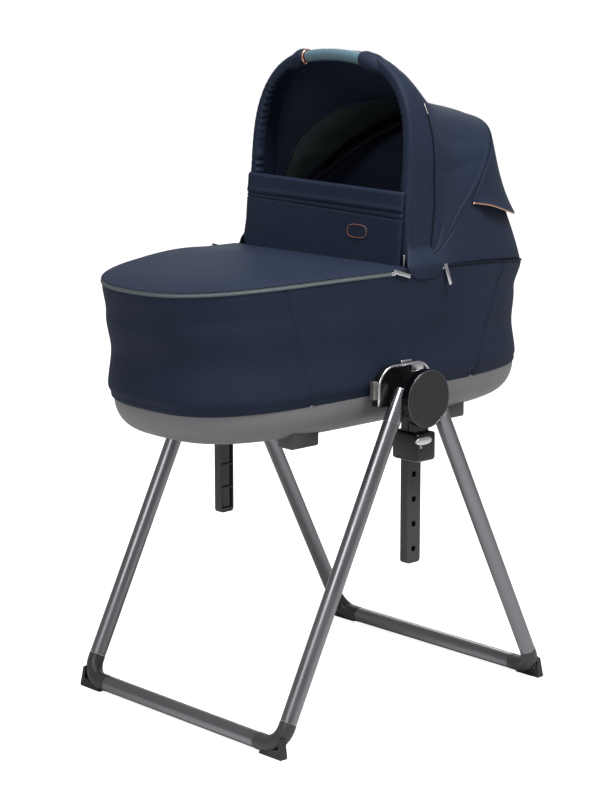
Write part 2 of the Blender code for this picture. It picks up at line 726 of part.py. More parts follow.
def build_foot(name, side, end, carrier):
    """A wedge under and outside the elbow, hollowed by it."""
    outline = (
        (LEG_X - FOOT_INNER, 0.0),
        (LEG_X + FOOT_OUTER - 0.001, 0.0),
        (LEG_X + FOOT_OUTER, 0.003),
        (LEG_X + FOOT_OUTER - 0.004, FOOT_RISE),
        (LEG_X + FOOT_OUTER - 0.010, FOOT_RISE + 0.002),
        (LEG_X + 0.004, CROSS_HEIGHT),
        (LEG_X - FOOT_INNER, 0.0035),
    )
    inner, outer = [], []
    for x, z in outline:
        inner.append((x, end * (CORNER_Y - FOOT_SETBACK), z))
        outer.append((x, end * (CORNER_Y + FOOT_REACH - z / 8), z))
    block = rings_mesh([inner, outer])
    foot = finish(name, block, "black_plastic", carrier, side)
    combine(foot, tube_mesh(elbow_path(end), SLEEVE_RADIUS + GAP), "DIFFERENCE", side)


def build_frame(name, end, plate_x, carrier):
    """One U-shaped half of the stand: arms, legs, elbows, cross tube and feet."""
    down, across, start = leg_frame(end)
    for label, side in (("near", 1), ("far", -1)):
        build_arm(f"{name}_arm_{label}", side, end, plate_x, carrier)
        path = elbow_path(end)
        leg = [start + down * (SLEEVE_LENGTH + GAP), path[0] - down * GAP]
        finish(f"{name}_leg_{label}", tube_mesh(leg, TUBE_RADIUS), "gunmetal", carrier, side)
        finish(
            f"{name}_elbow_{label}",
            tube_mesh(path, SLEEVE_RADIUS),
            "moulded_grey",
            carrier,
            side,
        )
        build_foot(f"{name}_foot_{label}", side, end, carrier)
    reach = path[-1].x - GAP
    cross = [(-reach, end * CORNER_Y, CROSS_HEIGHT), (reach, end * CORNER_Y, CROSS_HEIGHT)]
    finish(f"{name}_cross_tube", tube_mesh(cross, TUBE_RADIUS), "gunmetal", carrier)


def build_hub(label, side):
    """Collar, neck and drum in one moulding, then the axle with its bezel cup and the cover disc."""
    narrow = COLLAR_HALF_WIDTH - COLLAR_TAPER
    rings = []
    for x, half, bottom in (
        (COLLAR_INNER, COLLAR_HALF_WIDTH - 0.002, COLLAR_BOTTOM + 0.0095),
        (COLLAR_INNER + 0.011, COLLAR_HALF_WIDTH, COLLAR_BOTTOM),
        (COLLAR_OUTER - 0.012, COLLAR_HALF_WIDTH, COLLAR_BOTTOM),
        (COLLAR_OUTER, narrow, COLLAR_BOTTOM),
    ):
        rings.append([(x, half, bottom), (x, half, COLLAR_TOP), (x, -half, COLLAR_TOP), (x, -half, bottom)])
    bracket = finish("hub_bracket_" + label, rings_mesh(rings), "black_plastic", None, side)
    neck_low = (DRUM_INNER, -NECK_HALF_WIDTH, COLLAR_TOP - 0.002)
    neck_high = (DRUM_OUTER, NECK_HALF_WIDTH, HUB_HEIGHT)
    combine(bracket, box_mesh(neck_low, neck_high), "UNION", side)
    combine(bracket, disc_mesh((0, HUB_HEIGHT), DRUM_RADIUS, DRUM_INNER, DRUM_OUTER), "UNION", side)
    slot_low = (POST_INNER - GAP, -POST_HALF_WIDTH - GAP, COLLAR_BOTTOM - 0.01)
    slot_high = (POST_OUTER + GAP, POST_HALF_WIDTH + GAP, COLLAR_TOP + 0.001)
    combine(bracket, box_mesh(slot_low, slot_high), "DIFFERENCE", side)
    bore = disc_mesh((0, HUB_HEIGHT), PIN_RADIUS + GAP, DRUM_INNER - 0.001, DRUM_OUTER + 0.001, 20)
    combine(bracket, bore, "DIFFERENCE", side)
    guide = disc_mesh((0, BOLT_HEIGHT), BOLT_RADIUS + GAP, POST_OUTER, COLLAR_OUTER + 0.001, 16)
    combine(bracket, guide, "DIFFERENCE", side)

    axle = finish(
        "hub_axle_" + label,
        disc_mesh((0, HUB_HEIGHT), BEZEL_RADIUS, FRONT_PLATE_X, COVER_X + COVER_THICKNESS - 0.001, 48),
        "silver",
        None,
        side,
    )
    inside = BEZEL_RADIUS - BEZEL_WIDTH
    centre = (0, HUB_HEIGHT)
    front = AXLE_PLATE_X + AXLE_PLATE_THICKNESS
    combine(axle, disc_mesh(centre, inside, FRONT_PLATE_X - 0.001, AXLE_PLATE_X, 48), "DIFFERENCE", side)
    combine(axle, disc_mesh(centre, inside, front, COVER_X + 0.01, 48), "DIFFERENCE", side)
    pin = disc_mesh((0, HUB_HEIGHT), PIN_RADIUS, DRUM_INNER + GAP, AXLE_PLATE_X + 0.0005, 20)
    combine(axle, pin, "UNION", side)
    rings = []
    for x, radius in (
        (COVER_X, inside - GAP),
        (COVER_X + COVER_THICKNESS - 0.001, inside - GAP),
        (COVER_X + COVER_THICKNESS, inside - 0.0015),
    ):
        ring = []
        for i in range(48):
            angle = 2 * pi * i / 48
            ring.append((x, radius * cos(angle), HUB_HEIGHT + radius * sin(angle)))
        rings.append(ring)
    finish("hub_cover_" + label, rings_mesh(rings), "hub_grey", None, side)


def build_post(label, side, carrier):
    """A channel open towards the carrycot, with cross ribs and a row of square holes in its outer wall."""
    low = (POST_INNER, -POST_HALF_WIDTH, POST_BOTTOM)
    high = (POST_OUTER, POST_HALF_WIDTH, POST_TOP)
    body = box_mesh(low, high)
    corners = []
    for edge in body.edges:
        first, second = (vert.co for vert in edge.verts)
        if max(first.z, second.z) < POST_BOTTOM + 0.001 and abs(first.y - second.y) < 1e-6:
            corners.append(edge)
    bmesh.ops.bevel(body, geom=corners, offset=0.006, segments=4, profile=0.5, affect="EDGES")
    post = finish("post_" + label, body, "black_plastic", carrier, side)
    hollow = bmesh.new()
    holes = bmesh.new()
    first = BOLT_HEIGHT - HOLE_PITCH * (HOLE_COUNT - 1)
    for k in range(HOLE_COUNT + 1):
        centre = first + HOLE_PITCH * k
        half = (HOLE_PITCH - RIB_THICKNESS) / 2
        base = max(centre - half, POST_BOTTOM + 0.008)
        top = min(centre + half, POST_TOP - 0.006)
        chamber = box_mesh(
            (POST_INNER - 0.001, -POST_HALF_WIDTH + POST_WALL, base),
            (POST_OUTER - POST_WALL, POST_HALF_WIDTH - POST_WALL, top),
        )
        join_meshes(hollow, chamber)
        if k < HOLE_COUNT:
            square = HOLE_SIZE / 2
            hole = box_mesh(
                (POST_OUTER - POST_WALL - 0.002, -square, centre - square),
                (POST_OUTER + 0.001, square, centre + square),
            )
            join_meshes(holes, hole)
    combine(post, hollow, "DIFFERENCE", side)
    combine(post, holes, "DIFFERENCE", side)
    head = box_mesh(
        (HEAD_INNER, -HEAD_HALF_LENGTH, HEAD_BOTTOM), (HEAD_OUTER, HEAD_HALF_LENGTH, HEAD_TOP), 0.003
    )
    finish("post_head_" + label, head, "black_plastic", carrier, side)


def join_meshes(target, extra):
    """Copy one bmesh's faces into another and free it."""
    made = {vert: target.verts.new(vert.co) for vert in extra.verts}
    for face in extra.faces:
        target.faces.new([made[vert] for vert in face.verts])
    extra.free()


def build_lever(label, side):
    """Silver plate on the collar, a tab down to the bolt, and the bolt that reaches the post's face."""
    plate_x = COLLAR_OUTER + LEVER_STANDOFF
    low = (plate_x, -LEVER_FRONT, COLLAR_TOP - LEVER_HEIGHT)
    high = (plate_x + LEVER_THICKNESS, LEVER_REAR, COLLAR_TOP)
    carrier = axis_empty("lock_lever_axis_" + label, (side * COLLAR_OUTER, 0, BOLT_HEIGHT))
    lever = finish("lock_lever_" + label, box_mesh(low, high, 0.0015), "silver", carrier, side)
    tab_low = (COLLAR_OUTER + GAP, -BOLT_RADIUS - 0.001, BOLT_HEIGHT - BOLT_RADIUS - 0.001)
    tab_high = (plate_x + 0.001, BOLT_RADIUS + 0.001, COLLAR_TOP - 0.004)
    combine(lever, box_mesh(tab_low, tab_high), "UNION", side)
    bolt = disc_mesh((0, BOLT_HEIGHT), BOLT_RADIUS, POST_OUTER + GAP, COLLAR_OUTER + 0.001, 16)
    combine(lever, bolt, "UNION", side)


def arch_point(share):
    """The hood's arch from the near foot over the top to the far foot, as (x, z)."""
    if share < HOOD_SIDE_SHARE or share > 1 - HOOD_SIDE_SHARE:
        near = min(share, 1 - share) / HOOD_SIDE_SHARE
        z = mix(HOOD_BOTTOM, HOOD_SPRING_LINE, near)
        x = HOOD_HALF_WIDTH + HOOD_FLARE * (1 - near) ** 2
        return (x if share < 0.5 else -x), z
    angle = pi * (share - HOOD_SIDE_SHARE) / (1 - 2 * HOOD_SIDE_SHARE)
    x = HOOD_HALF_WIDTH * power_wave(cos(angle), HOOD_POWER)
    return x, HOOD_SPRING_LINE + HOOD_RISE * power_wave(sin(angle), HOOD_POWER)


def arch_shares(side_steps, top_steps):
    low = [HOOD_SIDE_SHARE * i / side_steps for i in range(side_steps)]
    low += EAR_SHARES
    top = [mix(HOOD_SIDE_SHARE, 1 - HOOD_SIDE_SHARE, i / top_steps) for i in range(top_steps + 1)]
    return sorted(low + top + [1 - share for share in low])


def arch_normal(share):
    """Outward normal of the arch in (x, z)."""
    step = 0.004
    ax, az = arch_point(max(share - step, 0.0))
    bx, bz = arch_point(min(share + step, 1.0))
    length = hypot(bx - ax, bz - az)
    return (bz - az) / length, -(bx - ax) / length


def mouth_y(z):
    """The front edge of the hood leans back a little as it rises."""
    return MOUTH_Y + MOUTH_SLOPE * (z - HINGE_Z)


def band_front_y(z):
    """The mouth's edge, drawn back below the hinge so that it turns clear of the wind flap."""
    if z >= HINGE_Z:
        return mouth_y(z)
    reach = HINGE_Y - MOUTH_Y
    return HINGE_Y - sqrt(reach**2 - (HINGE_Z - z) ** 2)


def seam_y(z):
    """The band's rear edge: an arc round the hinge, then a steep line up to the seam."""
    if z <= HINGE_Z:
        return HINGE_Y + sqrt(max(EAR_RADIUS**2 - (z - HINGE_Z) ** 2, 0.0))
    return min(HOOD_SEAM_Y, HINGE_Y + EAR_RADIUS + (z - HINGE_Z) / SEAM_STEEPNESS)


def seam_drop(z):
    """The hood is a little smaller at the seam than at its mouth, most so at its top."""
    return SEAM_DROP * smooth((z - HOOD_SPRING_LINE) / HOOD_RISE)


def build_hood_band():
    """The stiff front of the hood: a thick sleeve round the mouth and a thin band behind it."""
    rings = []
    for share in arch_shares(ARCH_SIDE_STEPS, ARCH_TOP_STEPS):
        x, z = arch_point(share)
        nx, nz = arch_normal(share)
        front, rear = band_front_y(z), seam_y(z)
        section = (
            (front + 0.002, 0.0015),
            (front, 0.006),
            (front, SLEEVE_DEPTH - 0.006),
            (front + 0.006, SLEEVE_DEPTH),
            (front + SLEEVE_FOLD - 0.006, SLEEVE_DEPTH),
            (front + SLEEVE_FOLD, BAND_THICKNESS + 0.004),
            (front + SLEEVE_FOLD + 0.006, BAND_THICKNESS),
            (rear, BAND_THICKNESS + seam_drop(z)),
            (rear, seam_drop(z)),
            (front + SLEEVE_FOLD, seam_drop(z) * 0.15),
        )
        rings.append([(x - nx * depth, y, z - nz * depth) for y, depth in section])
    lowest = rings[0], rings[-1]
    for ring in lowest:
        ring[:] = [(x, y, HOOD_BOTTOM) for x, y, z in ring]
    band = finish("hood_band", rings_mesh(rings), "navy_fabric", HOOD_FRONT)
    arch_top = HOOD_SPRING_LINE + HOOD_RISE
    lean = 2 * GRIP_BOW * (GRIP_HALF_LENGTH + GRIP_RING_WIDTH)
    notch = GRIP_HALF_LENGTH + GRIP_RING_WIDTH + 2 * GAP + GRIP_RING_RADIUS * lean
    low = (-notch, GRIP_Y - 0.025, arch_top - 2 * GRIP_RADIUS - 0.010)
    high = (notch, GRIP_Y + GRIP_RADIUS + 0.0025, arch_top + 0.01)
    combine(band, box_mesh(low, high), "DIFFERENCE")
    start = hinge_plate_faces()[1]
    for side in (1, -1):
        hole = disc_mesh((HINGE_Y, HINGE_Z), HINGE_PIN_RADIUS + GAP, start, start + 0.04, 16)
        combine(band, hole, "DIFFERENCE", side)


def grip_point(x):
    top = HOOD_SPRING_LINE + HOOD_RISE - GRIP_DROP
    return Vector((x, GRIP_Y, top - GRIP_BOW * x * x))


def build_grip():
    path = [grip_point(GRIP_HALF_LENGTH * (i / 4 - 1)) for i in range(9)]
    finish("hood_grip", tube_mesh(path, GRIP_RADIUS, 20), "grip_teal", HOOD_FRONT)
    for label, side in (("near", 1), ("far", -1)):
        start = GRIP_HALF_LENGTH + GAP
        ring = [grip_point(start), grip_point(start + GRIP_RING_WIDTH)]
        finish("grip_ring_" + label, tube_mesh(ring, GRIP_RING_RADIUS, 20), "rose_gold", HOOD_FRONT, side)


def hinge_plate_faces():
    """The inner and outer x of a hinge plate, which lies inside the hood's band."""
    outer = arch_point(0.02)[0] - BAND_THICKNESS - HINGE_PLATE_SPACE
    return outer - HINGE_PLATE_THICKNESS, outer


def build_hood_hinge(label, side):
    """Plate on the lining's inner face that carries the hood's pin."""
    inner, outer = hinge_plate_faces()
    foot = HINGE_Z - HINGE_PLATE_DROP
    outline = [(HINGE_Y + HINGE_PLATE_HALF_WIDTH, foot)]
    for i in range(9):
        angle = pi * i / 8
        outline.append(
            (HINGE_Y + HINGE_PLATE_HALF_WIDTH * cos(angle), HINGE_Z + HINGE_PLATE_HALF_WIDTH * sin(angle))
        )
    outline.append((HINGE_Y - HINGE_PLATE_HALF_WIDTH, foot))
    plate = finish("hood_hinge_" + label, prism_mesh(outline, inner, outer), "black_plastic", COT, side)
    pin = disc_mesh((HINGE_Y, HINGE_Z), HINGE_PIN_RADIUS, outer - 0.001, outer + 0.0055, 16)
    combine(plate, pin, "UNION", side)
    level = (foot - HEM_HEIGHT) / SIDE_HEIGHT
    lining_face = side_lining_x(level, HINGE_Y + HINGE_PLATE_HALF_WIDTH)
    pad_low = (outer - 0.002, HINGE_Y - HINGE_PLATE_HALF_WIDTH, foot)
    pad_high = (lining_face - GAP, HINGE_Y + HINGE_PLATE_HALF_WIDTH, foot + 0.018)
    combine(plate, box_mesh(pad_low, pad_high), "UNION", side)


def side_lining_x(level, y):
    """The lining's inner face at a height share and a distance along the body."""
    inset = FABRIC_WALL + GAP + LINING_WALL
    half_width = RIM_HALF_WIDTH - SHOULDER_SIDE_INSET - inset
    rear = RIM_REAR - SHOULDER_REAR_INSET - inset
    power = mix(HEM_POWER, RIM_POWER, level)
    return half_width * (1 - (y / rear) ** power) ** (1 / power)


def seam_curve(share):
    """Where the canopy starts behind the band, as (x, distance, angle) about the hood's hinge."""
    place = mix(0.022, 0.978, share)
    x, z = arch_point(place)
    nx, nz = arch_normal(place)
    y = seam_y(z) + RUNNING_GAP + GAP
    drop = seam_drop(z)
    x, z = x - nx * drop, z - nz * drop
    return x, hypot(y - HINGE_Y, z - HINGE_Z), atan2(z - HINGE_Z, y - HINGE_Y)


def crest_curve(share):
    """The line of the rear bow."""
    start = 0.031
    angle = mix(start, pi - start, share)
    x = CREST_HALF_WIDTH * power_wave(cos(angle), CREST_POWER)
    distance = CREST_RADIUS * power_wave(sin(angle), CREST_POWER)
    return x, distance, min(CREST_ANGLE, 0.6 * seam_curve(share)[2])


def base_curve(share):
    """The canopy's lower edge on the rim."""
    start = 0.122
    angle = mix(start, pi - start, share)
    x, y = plan_point(angle, RIM_HALF_WIDTH - 0.0012, RIM_FRONT, RIM_REAR - 0.0012, RIM_POWER)
    z = rim_height(y) + RUNNING_GAP
    return x, hypot(y - HINGE_Y, z - HINGE_Z), atan2(z - HINGE_Z, y - HINGE_Y)


def canopy_point(share, row):
    """A point of the canopy: row 0 is the seam, 1 the rear bow's crest and 2 the rim."""
    if row <= 1:
        first, second, step, sag = seam_curve(share), crest_curve(share), row, DIP_DEPTH
    else:
        first, second, step, sag = crest_curve(share), base_curve(share), row - 1, LOWER_SAG
    weight = min(1.0, 1.3 * sin(pi * share)) ** 2
    x = mix(first[0], second[0], step)
    distance = mix(first[1], second[1], step) - sag * weight * sin(pi * step)
    angle = mix(first[2], second[2], step)
    return Vector((x, HINGE_Y + distance * cos(angle), HINGE_Z + distance * sin(angle)))


def canopy_normal(share, row):
    step = 0.01
    a, b = max(share - step, 0.0), min(share + step, 1.0)
    low, high = max(row - step, 0.0), min(row + step, 2.0)
    across = canopy_point(b, row) - canopy_point(a, row)
    along = canopy_point(share, high) - canopy_point(share, low)
    return along.cross(across).normalized()


def build_canopy():
    outer, inner = [], []
    for i in range(2 * CANOPY_ROWS + 1):
        row = i / CANOPY_ROWS
        outer_row, inner_row = [], []
        for k in range(CANOPY_STATIONS + 1):
            share = k / CANOPY_STATIONS
            point = canopy_point(share, row)
            normal = canopy_normal(share, row)
            back = point - CANOPY_THICKNESS * normal
            if i == 0:
                back.y = max(back.y, point.y + GAP)
            if i == 2 * CANOPY_ROWS:
                back.z = point.z
            outer_row.append(point)
            inner_row.append(back)
        outer.append(outer_row)
        inner.append(inner_row)
    finish("hood_canopy", sheet_mesh(outer, inner), "navy_fabric", COT)


def build_rear_bow():
    path = []
    half_width = hinge_plate_faces()[0] - GAP - REAR_BOW_RADIUS
    for i in range(21):
        angle = pi * i / 20
        x = half_width * power_wave(cos(angle), CREST_POWER)
        reach = CREST_RADIUS - CANOPY_THICKNESS - REAR_BOW_RADIUS - REAR_BOW_SPACE
        distance = reach * power_wave(abs(sin(angle)), CREST_POWER)
        y = HINGE_Y + distance * cos(CREST_ANGLE)
        path.append((x, y, HINGE_Z + distance * sin(CREST_ANGLE)))
    finish("rear_bow", tube_mesh(path, REAR_BOW_RADIUS, 8), "gunmetal", REAR_BOW)


def build_vent_flap():
    """The cover that hangs from the rear bow's crest and stands off at its lower edge."""
    outer, inner = [], []
    for i in range(VENT_ROWS + 1):
        outer_row, inner_row = [], []
        for k in range(VENT_FIRST, CANOPY_STATIONS - VENT_FIRST + 1):
            share = k / CANOPY_STATIONS
            near = min(share, 1 - share) - VENT_FIRST / CANOPY_STATIONS
            low = VENT_LOW_ANGLE + VENT_CORNER_RISE * exp(-near / VENT_CORNER_REACH)
            crest_angle, base_angle = crest_curve(share)[2], base_curve(share)[2]
            reach = (crest_angle - radians(low)) / (crest_angle - base_angle)
            row = 1 + max(reach, 0.06) * mix(0.02, 1.0, i / VENT_ROWS)
            point, normal = canopy_point(share, row), canopy_normal(share, row)
            lift = (VENT_SPACE if i else 2 * GAP) + VENT_FLARE * (i / VENT_ROWS) ** 3
            outer_row.append(point + (lift + VENT_THICKNESS) * normal)
            inner_row.append(point + lift * normal)
        outer.append(outer_row)
        inner.append(inner_row)
    finish("vent_flap", sheet_mesh(outer, inner), "navy_fabric", COT)


def build_wind_flap():
    """A soft panel with a turned-down band at its top, in front of the hood's mouth."""
    low_fold = FLAP_FOLD - FLAP_FOLD_SPACING
    crease = FLAP_FOLD_SPACING * 0.375
    front = (
        (FLAP_BOTTOM, 0.0),
        (mix(FLAP_BOTTOM, low_fold, 0.2), FLAP_PUFF),
        (mix(FLAP_BOTTOM, low_fold, 0.65), FLAP_PUFF),
        (low_fold - crease, FLAP_PUFF / 3),
        (low_fold, -FLAP_PUFF * 0.7),
        (low_fold + crease, FLAP_PUFF / 3),
        (FLAP_FOLD, -FLAP_PUFF * 0.7),
        (FLAP_FOLD + crease, FLAP_PUFF),
        (FLAP_TOP - 2 * crease, FLAP_PUFF),
        (FLAP_TOP, -FLAP_THICKNESS * 0.4),
    )
    back = (FLAP_TOP, FLAP_FOLD, mix(FLAP_BOTTOM, FLAP_FOLD, 0.5), FLAP_BOTTOM)
    rings = []
    for x in (-1.0, -0.985, -0.7, -0.25, 0.25, 0.7, 0.985, 1.0):
        swell = 0.6 if abs(x) == 1.0 else 1.0
        ring = []
        for z, puff in front:
            y = mouth_y(z) - RUNNING_GAP - (FLAP_THICKNESS + puff) * swell
            ring.append((x * FLAP_HALF_WIDTH, y, z))
        for z in back:
            ring.append((x * FLAP_HALF_WIDTH, mouth_y(z) - RUNNING_GAP, z))
        rings.append(ring)
    finish("wind_flap", rings_mesh(rings), "navy_fabric", WIND_FLAP)


def build_zip_pulls():
    """A slider and its tab at each end of the apron's and the hood's zips."""
    top = RIM_HEIGHT - ZIP_BELOW_RIM
    for label, side in (("near", 1), ("far", -1)):
        for end, y, tilt in (("front", PULL_Y[0], PULL_TILT[0]), ("rear", PULL_Y[1], PULL_TILT[1])):
            narrowing = (1 - (max(y, 0) / RIM_REAR) ** RIM_POWER) ** (1 / RIM_POWER)
            face = RIM_HALF_WIDTH * narrowing + ZIP_THICKNESS + 2 * GAP
            carrier = axis_empty(f"zip_pull_axis_{end}_{label}", (side * face, y, top))
            low = (face, y - PULL_WIDTH / 2, top - PULL_LENGTH)
            high = (face + PULL_THICKNESS, y + PULL_WIDTH / 2, top + 0.002)
            pull = box_mesh(low, high, 0.0012)
            turn = Matrix.Rotation(-tilt, 4, "X")
            bmesh.ops.rotate(pull, cent=(face, y, top), matrix=turn, verts=pull.verts)
            finish(f"zip_pull_{end}_{label}", pull, "silver", carrier, side)


clear_scene()
COT = axis_empty("carrycot_axis", (0, 0, HEAD_TOP))
HOOD_FRONT = axis_empty("hood_axis", (0, HINGE_Y, HINGE_Z))
REAR_BOW = axis_empty("rear_bow_axis", (0, HINGE_Y, HINGE_Z))
WIND_FLAP = axis_empty("wind_flap_axis", (0, FLAP_HINGE_Y, FLAP_BOTTOM))
FRONT_FRAME = axis_empty("front_frame_axis", (0, 0, HUB_HEIGHT))
REAR_FRAME = axis_empty("rear_frame_axis", (0, 0, HUB_HEIGHT))

for hub_label, hub_side in (("near", 1), ("far", -1)):
    build_hub(hub_label, hub_side)
    post_carrier = axis_empty("post_axis_" + hub_label, (hub_side * POST_INNER, 0, POST_BOTTOM))
    build_post(hub_label, hub_side, post_carrier)
    build_lever(hub_label, hub_side)
    build_side_mount(hub_label, hub_side)
    build_hood_hinge(hub_label, hub_side)
build_frame("front", -1, FRONT_PLATE_X, FRONT_FRAME)
build_frame("rear", 1, REAR_PLATE_X, REAR_FRAME)
build_body()
build_apron()
build_base_blocks()
build_hood_band()
build_grip()
build_canopy()
build_rear_bow()
build_vent_flap()
build_wind_flap()
build_zip_pulls()
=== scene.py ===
# %% [markdown]
# Carrycot with a folding stand.
# The solids of the stand and the carrycot are already made and stay where they are. This lesson dresses them:
# cloth panels take the place of the plain soft solids, and every hard piece gets softened edges and a finish.

# %% Load the solids
from math import atan2, cos, exp, hypot, pi, radians, sin, sqrt

import bmesh
import bpy
import numpy as np
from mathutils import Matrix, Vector, noise


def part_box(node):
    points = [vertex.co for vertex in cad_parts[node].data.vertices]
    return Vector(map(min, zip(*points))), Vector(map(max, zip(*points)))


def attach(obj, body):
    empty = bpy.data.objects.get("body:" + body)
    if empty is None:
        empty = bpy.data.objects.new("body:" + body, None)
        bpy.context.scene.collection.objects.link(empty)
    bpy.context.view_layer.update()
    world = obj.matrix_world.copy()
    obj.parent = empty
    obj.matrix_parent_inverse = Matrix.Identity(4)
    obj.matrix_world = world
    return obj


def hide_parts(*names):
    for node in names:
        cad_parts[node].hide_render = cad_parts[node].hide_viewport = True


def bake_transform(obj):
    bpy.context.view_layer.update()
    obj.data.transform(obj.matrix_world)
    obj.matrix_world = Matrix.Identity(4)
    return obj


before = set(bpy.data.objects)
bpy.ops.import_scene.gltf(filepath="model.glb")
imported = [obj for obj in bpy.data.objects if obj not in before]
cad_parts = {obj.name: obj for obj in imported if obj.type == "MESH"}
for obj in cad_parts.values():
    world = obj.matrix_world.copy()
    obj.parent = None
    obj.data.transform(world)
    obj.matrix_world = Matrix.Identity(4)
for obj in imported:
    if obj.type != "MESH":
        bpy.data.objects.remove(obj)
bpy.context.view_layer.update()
hub_low, hub_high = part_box("hub_cover_near")
HUB = (hub_low + hub_high) / 2
SHIFT = np.array((0.0, HUB.y, 0.0))  # lengths along Y below are counted from the hubs
print("hub centre", [round(value, 4) for value in HUB])

# %% [markdown]
# The camera stands in front of the foot end, on the near side, a little above the hood. A long lens keeps the
# upright lines of the stand nearly parallel, as in a studio picture.

# %% Camera
EYE = Vector((2.808, -2.628 + HUB.y, 1.276))
TURN, TILT = radians(47.03), radians(11.41)
LENS = 103.7
look = Vector((-sin(TURN) * cos(TILT), cos(TURN) * cos(TILT), -sin(TILT)))


def put(name, data):
    """A new object in the scene."""
    made = bpy.data.objects.new(name, data)
    bpy.context.scene.collection.objects.link(made)
    return made


def point_at(made, place, direction):
    made.location = place
    made.rotation_euler = direction.to_track_quat("-Z", "Y").to_euler()


camera = put("camera", bpy.data.cameras.new("camera"))
point_at(camera, EYE, look)
camera.data.lens, camera.data.sensor_width = LENS, 36
bpy.context.scene.camera = camera

# %% [markdown]
# Colours are written as the hex values a paint chart would give, and one function turns them to the linear
# numbers that a shader needs. One more function adds a node with its settings and its links, and a few short ones
# make the groups of nodes that most finishes share: clouds, two tones, uneven gloss and a relief.

# %% Colours and nodes


def linear(chart):
    parts = [int(chart[i:i + 2], 16) / 255 for i in (1, 3, 5)]
    return tuple(c / 12.92 if c <= 0.04045 else ((c + 0.055) / 1.055) ** 2.4 for c in parts) + (1.0,)


def add(tree, kind, inputs=(), **settings):
    """Add a node. Inputs are (socket, value or output) pairs, and settings are its properties."""
    made = tree.nodes.new(kind)
    for key, value in settings.items():
        setattr(made, key, value)
    for key, value in dict(inputs).items():
        if isinstance(value, bpy.types.NodeSocket):
            tree.links.new(value, made.inputs[key])
        else:
            made.inputs[key].default_value = value
    return made


def new_finish(name, **sockets):
    """A material whose Principled shader has these sockets set, with its tree and its shader."""
    made = bpy.data.materials.new(name)
    made.use_nodes = True
    shader = made.node_tree.nodes["Principled BSDF"]
    for key, value in sockets.items():
        shader.inputs[key.replace("_", " ")].default_value = value
    return made, made.node_tree, shader


def link_out(tree, kind, inputs, **settings):
    """Add a node and hand on its first output."""
    return add(tree, kind, inputs, **settings).outputs[0]


def joined(tree, first, second, operation="MULTIPLY"):
    return link_out(tree, "ShaderNodeMath", ((0, first), (1, second)), operation=operation)


def cloudy(tree, place, scale, detail):
    return add(tree, "ShaderNodeTexNoise", (("Vector", place), ("Scale", scale), ("Detail", detail))).outputs["Fac"]


def two_tone(tree, shader, share, first, second):
    colour = add(tree, "ShaderNodeMix", ((0, share), (6, first), (7, second)), data_type="RGBA")
    tree.links.new(colour.outputs[2], shader.inputs["Base Color"])


def uneven_gloss(tree, shader, marks, low, high):
    span = (("Value", marks), ("From Min", 0.3), ("From Max", 0.7), ("To Min", low), ("To Max", high))
    tree.links.new(link_out(tree, "ShaderNodeMapRange", span), shader.inputs["Roughness"])


def relief(tree, shader, height, strength, distance):
    bump = add(tree, "ShaderNodeBump", (("Strength", strength), ("Distance", distance), ("Height", height)))
    tree.links.new(bump.outputs["Normal"], shader.inputs["Normal"])


# %% [markdown]
# The outer cloth is woven polyester with a faint two-tone thread. Its weave is a pair of crossed waves read
# from the piece's own cloth map, which is in metres, so that the threads follow each panel. The real thread is
# under half a millimetre, and it is drawn at 1.9 mm so that it shows at all. Sheen gives the soft pale edge.

# %% Woven cloth
THREAD = 0.0019
WAVE_PERIOD = 0.314  # a wave texture of scale 1 repeats after this many metres


def woven(name, dark, light, rough=0.66, sheen=0.02, bump=0.14, thread=THREAD, tint="#9fb0cc", gloss=0.10):
    made, tree, shader = new_finish(
        name, Roughness=rough, Sheen_Weight=sheen, Sheen_Roughness=0.45, Sheen_Tint=linear(tint),
        Specular_IOR_Level=gloss,
    )
    cloth = add(tree, "ShaderNodeUVMap", uv_map="cloth").outputs["UV"]
    place = add(tree, "ShaderNodeTexCoord").outputs["Object"]
    warp, weft = (
        add(tree, "ShaderNodeTexWave", (("Vector", cloth), ("Scale", WAVE_PERIOD / thread)), bands_direction=way)
        for way in "XY"
    )
    weave = joined(tree, warp.outputs["Fac"], weft.outputs["Fac"])
    slub = cloudy(tree, cloth, 420.0, 3.0)
    faded = joined(tree, cloudy(tree, place, 9.0, 3.0), 0.25)
    share = joined(tree, slub, faded, "ADD")
    spread = link_out(tree, "ShaderNodeMapRange", (("Value", share), ("From Min", 0.35), ("From Max", 0.90)))
    two_tone(tree, shader, spread, linear(dark), linear(light))
    relief(tree, shader, joined(tree, weave, slub, "ADD"), bump, 0.0004)
    return made


NAVY = woven("navy_woven_polyester", "#111827", "#202a3e", gloss=0.16)
LINER = woven("navy_black_satin_lining", "#1c2030", "#2f3446", rough=0.6, sheen=0.04)
MESH_LINER = woven("grey_air_mesh", "#32393b", "#4d5759", rough=0.8, bump=0.8, thread=0.0030)
TAPE = woven("grey_zip_tape", "#454b4e", "#646b6d", rough=0.5, bump=0.4, thread=0.0016)
COTTON = woven("pale_cotton_jersey", "#b9bcc2", "#d6d8dc", rough=0.9, sheen=0.2, tint="#ffffff")
EDGE_TAPE = woven("black_binding_tape", "#07080c", "#11131a", rough=0.6)

# %% [markdown]
# Hard finishes: moulded ABS with a fine grain, lacquered steel tube with metal flakes, plated trim, and the
# stitched leatherette of the grip. Each has slight unevenness in its roughness, as handled pieces have.

# %% Moulded plastic, lacquer, plating and leatherette
GRAIN = 0.0011


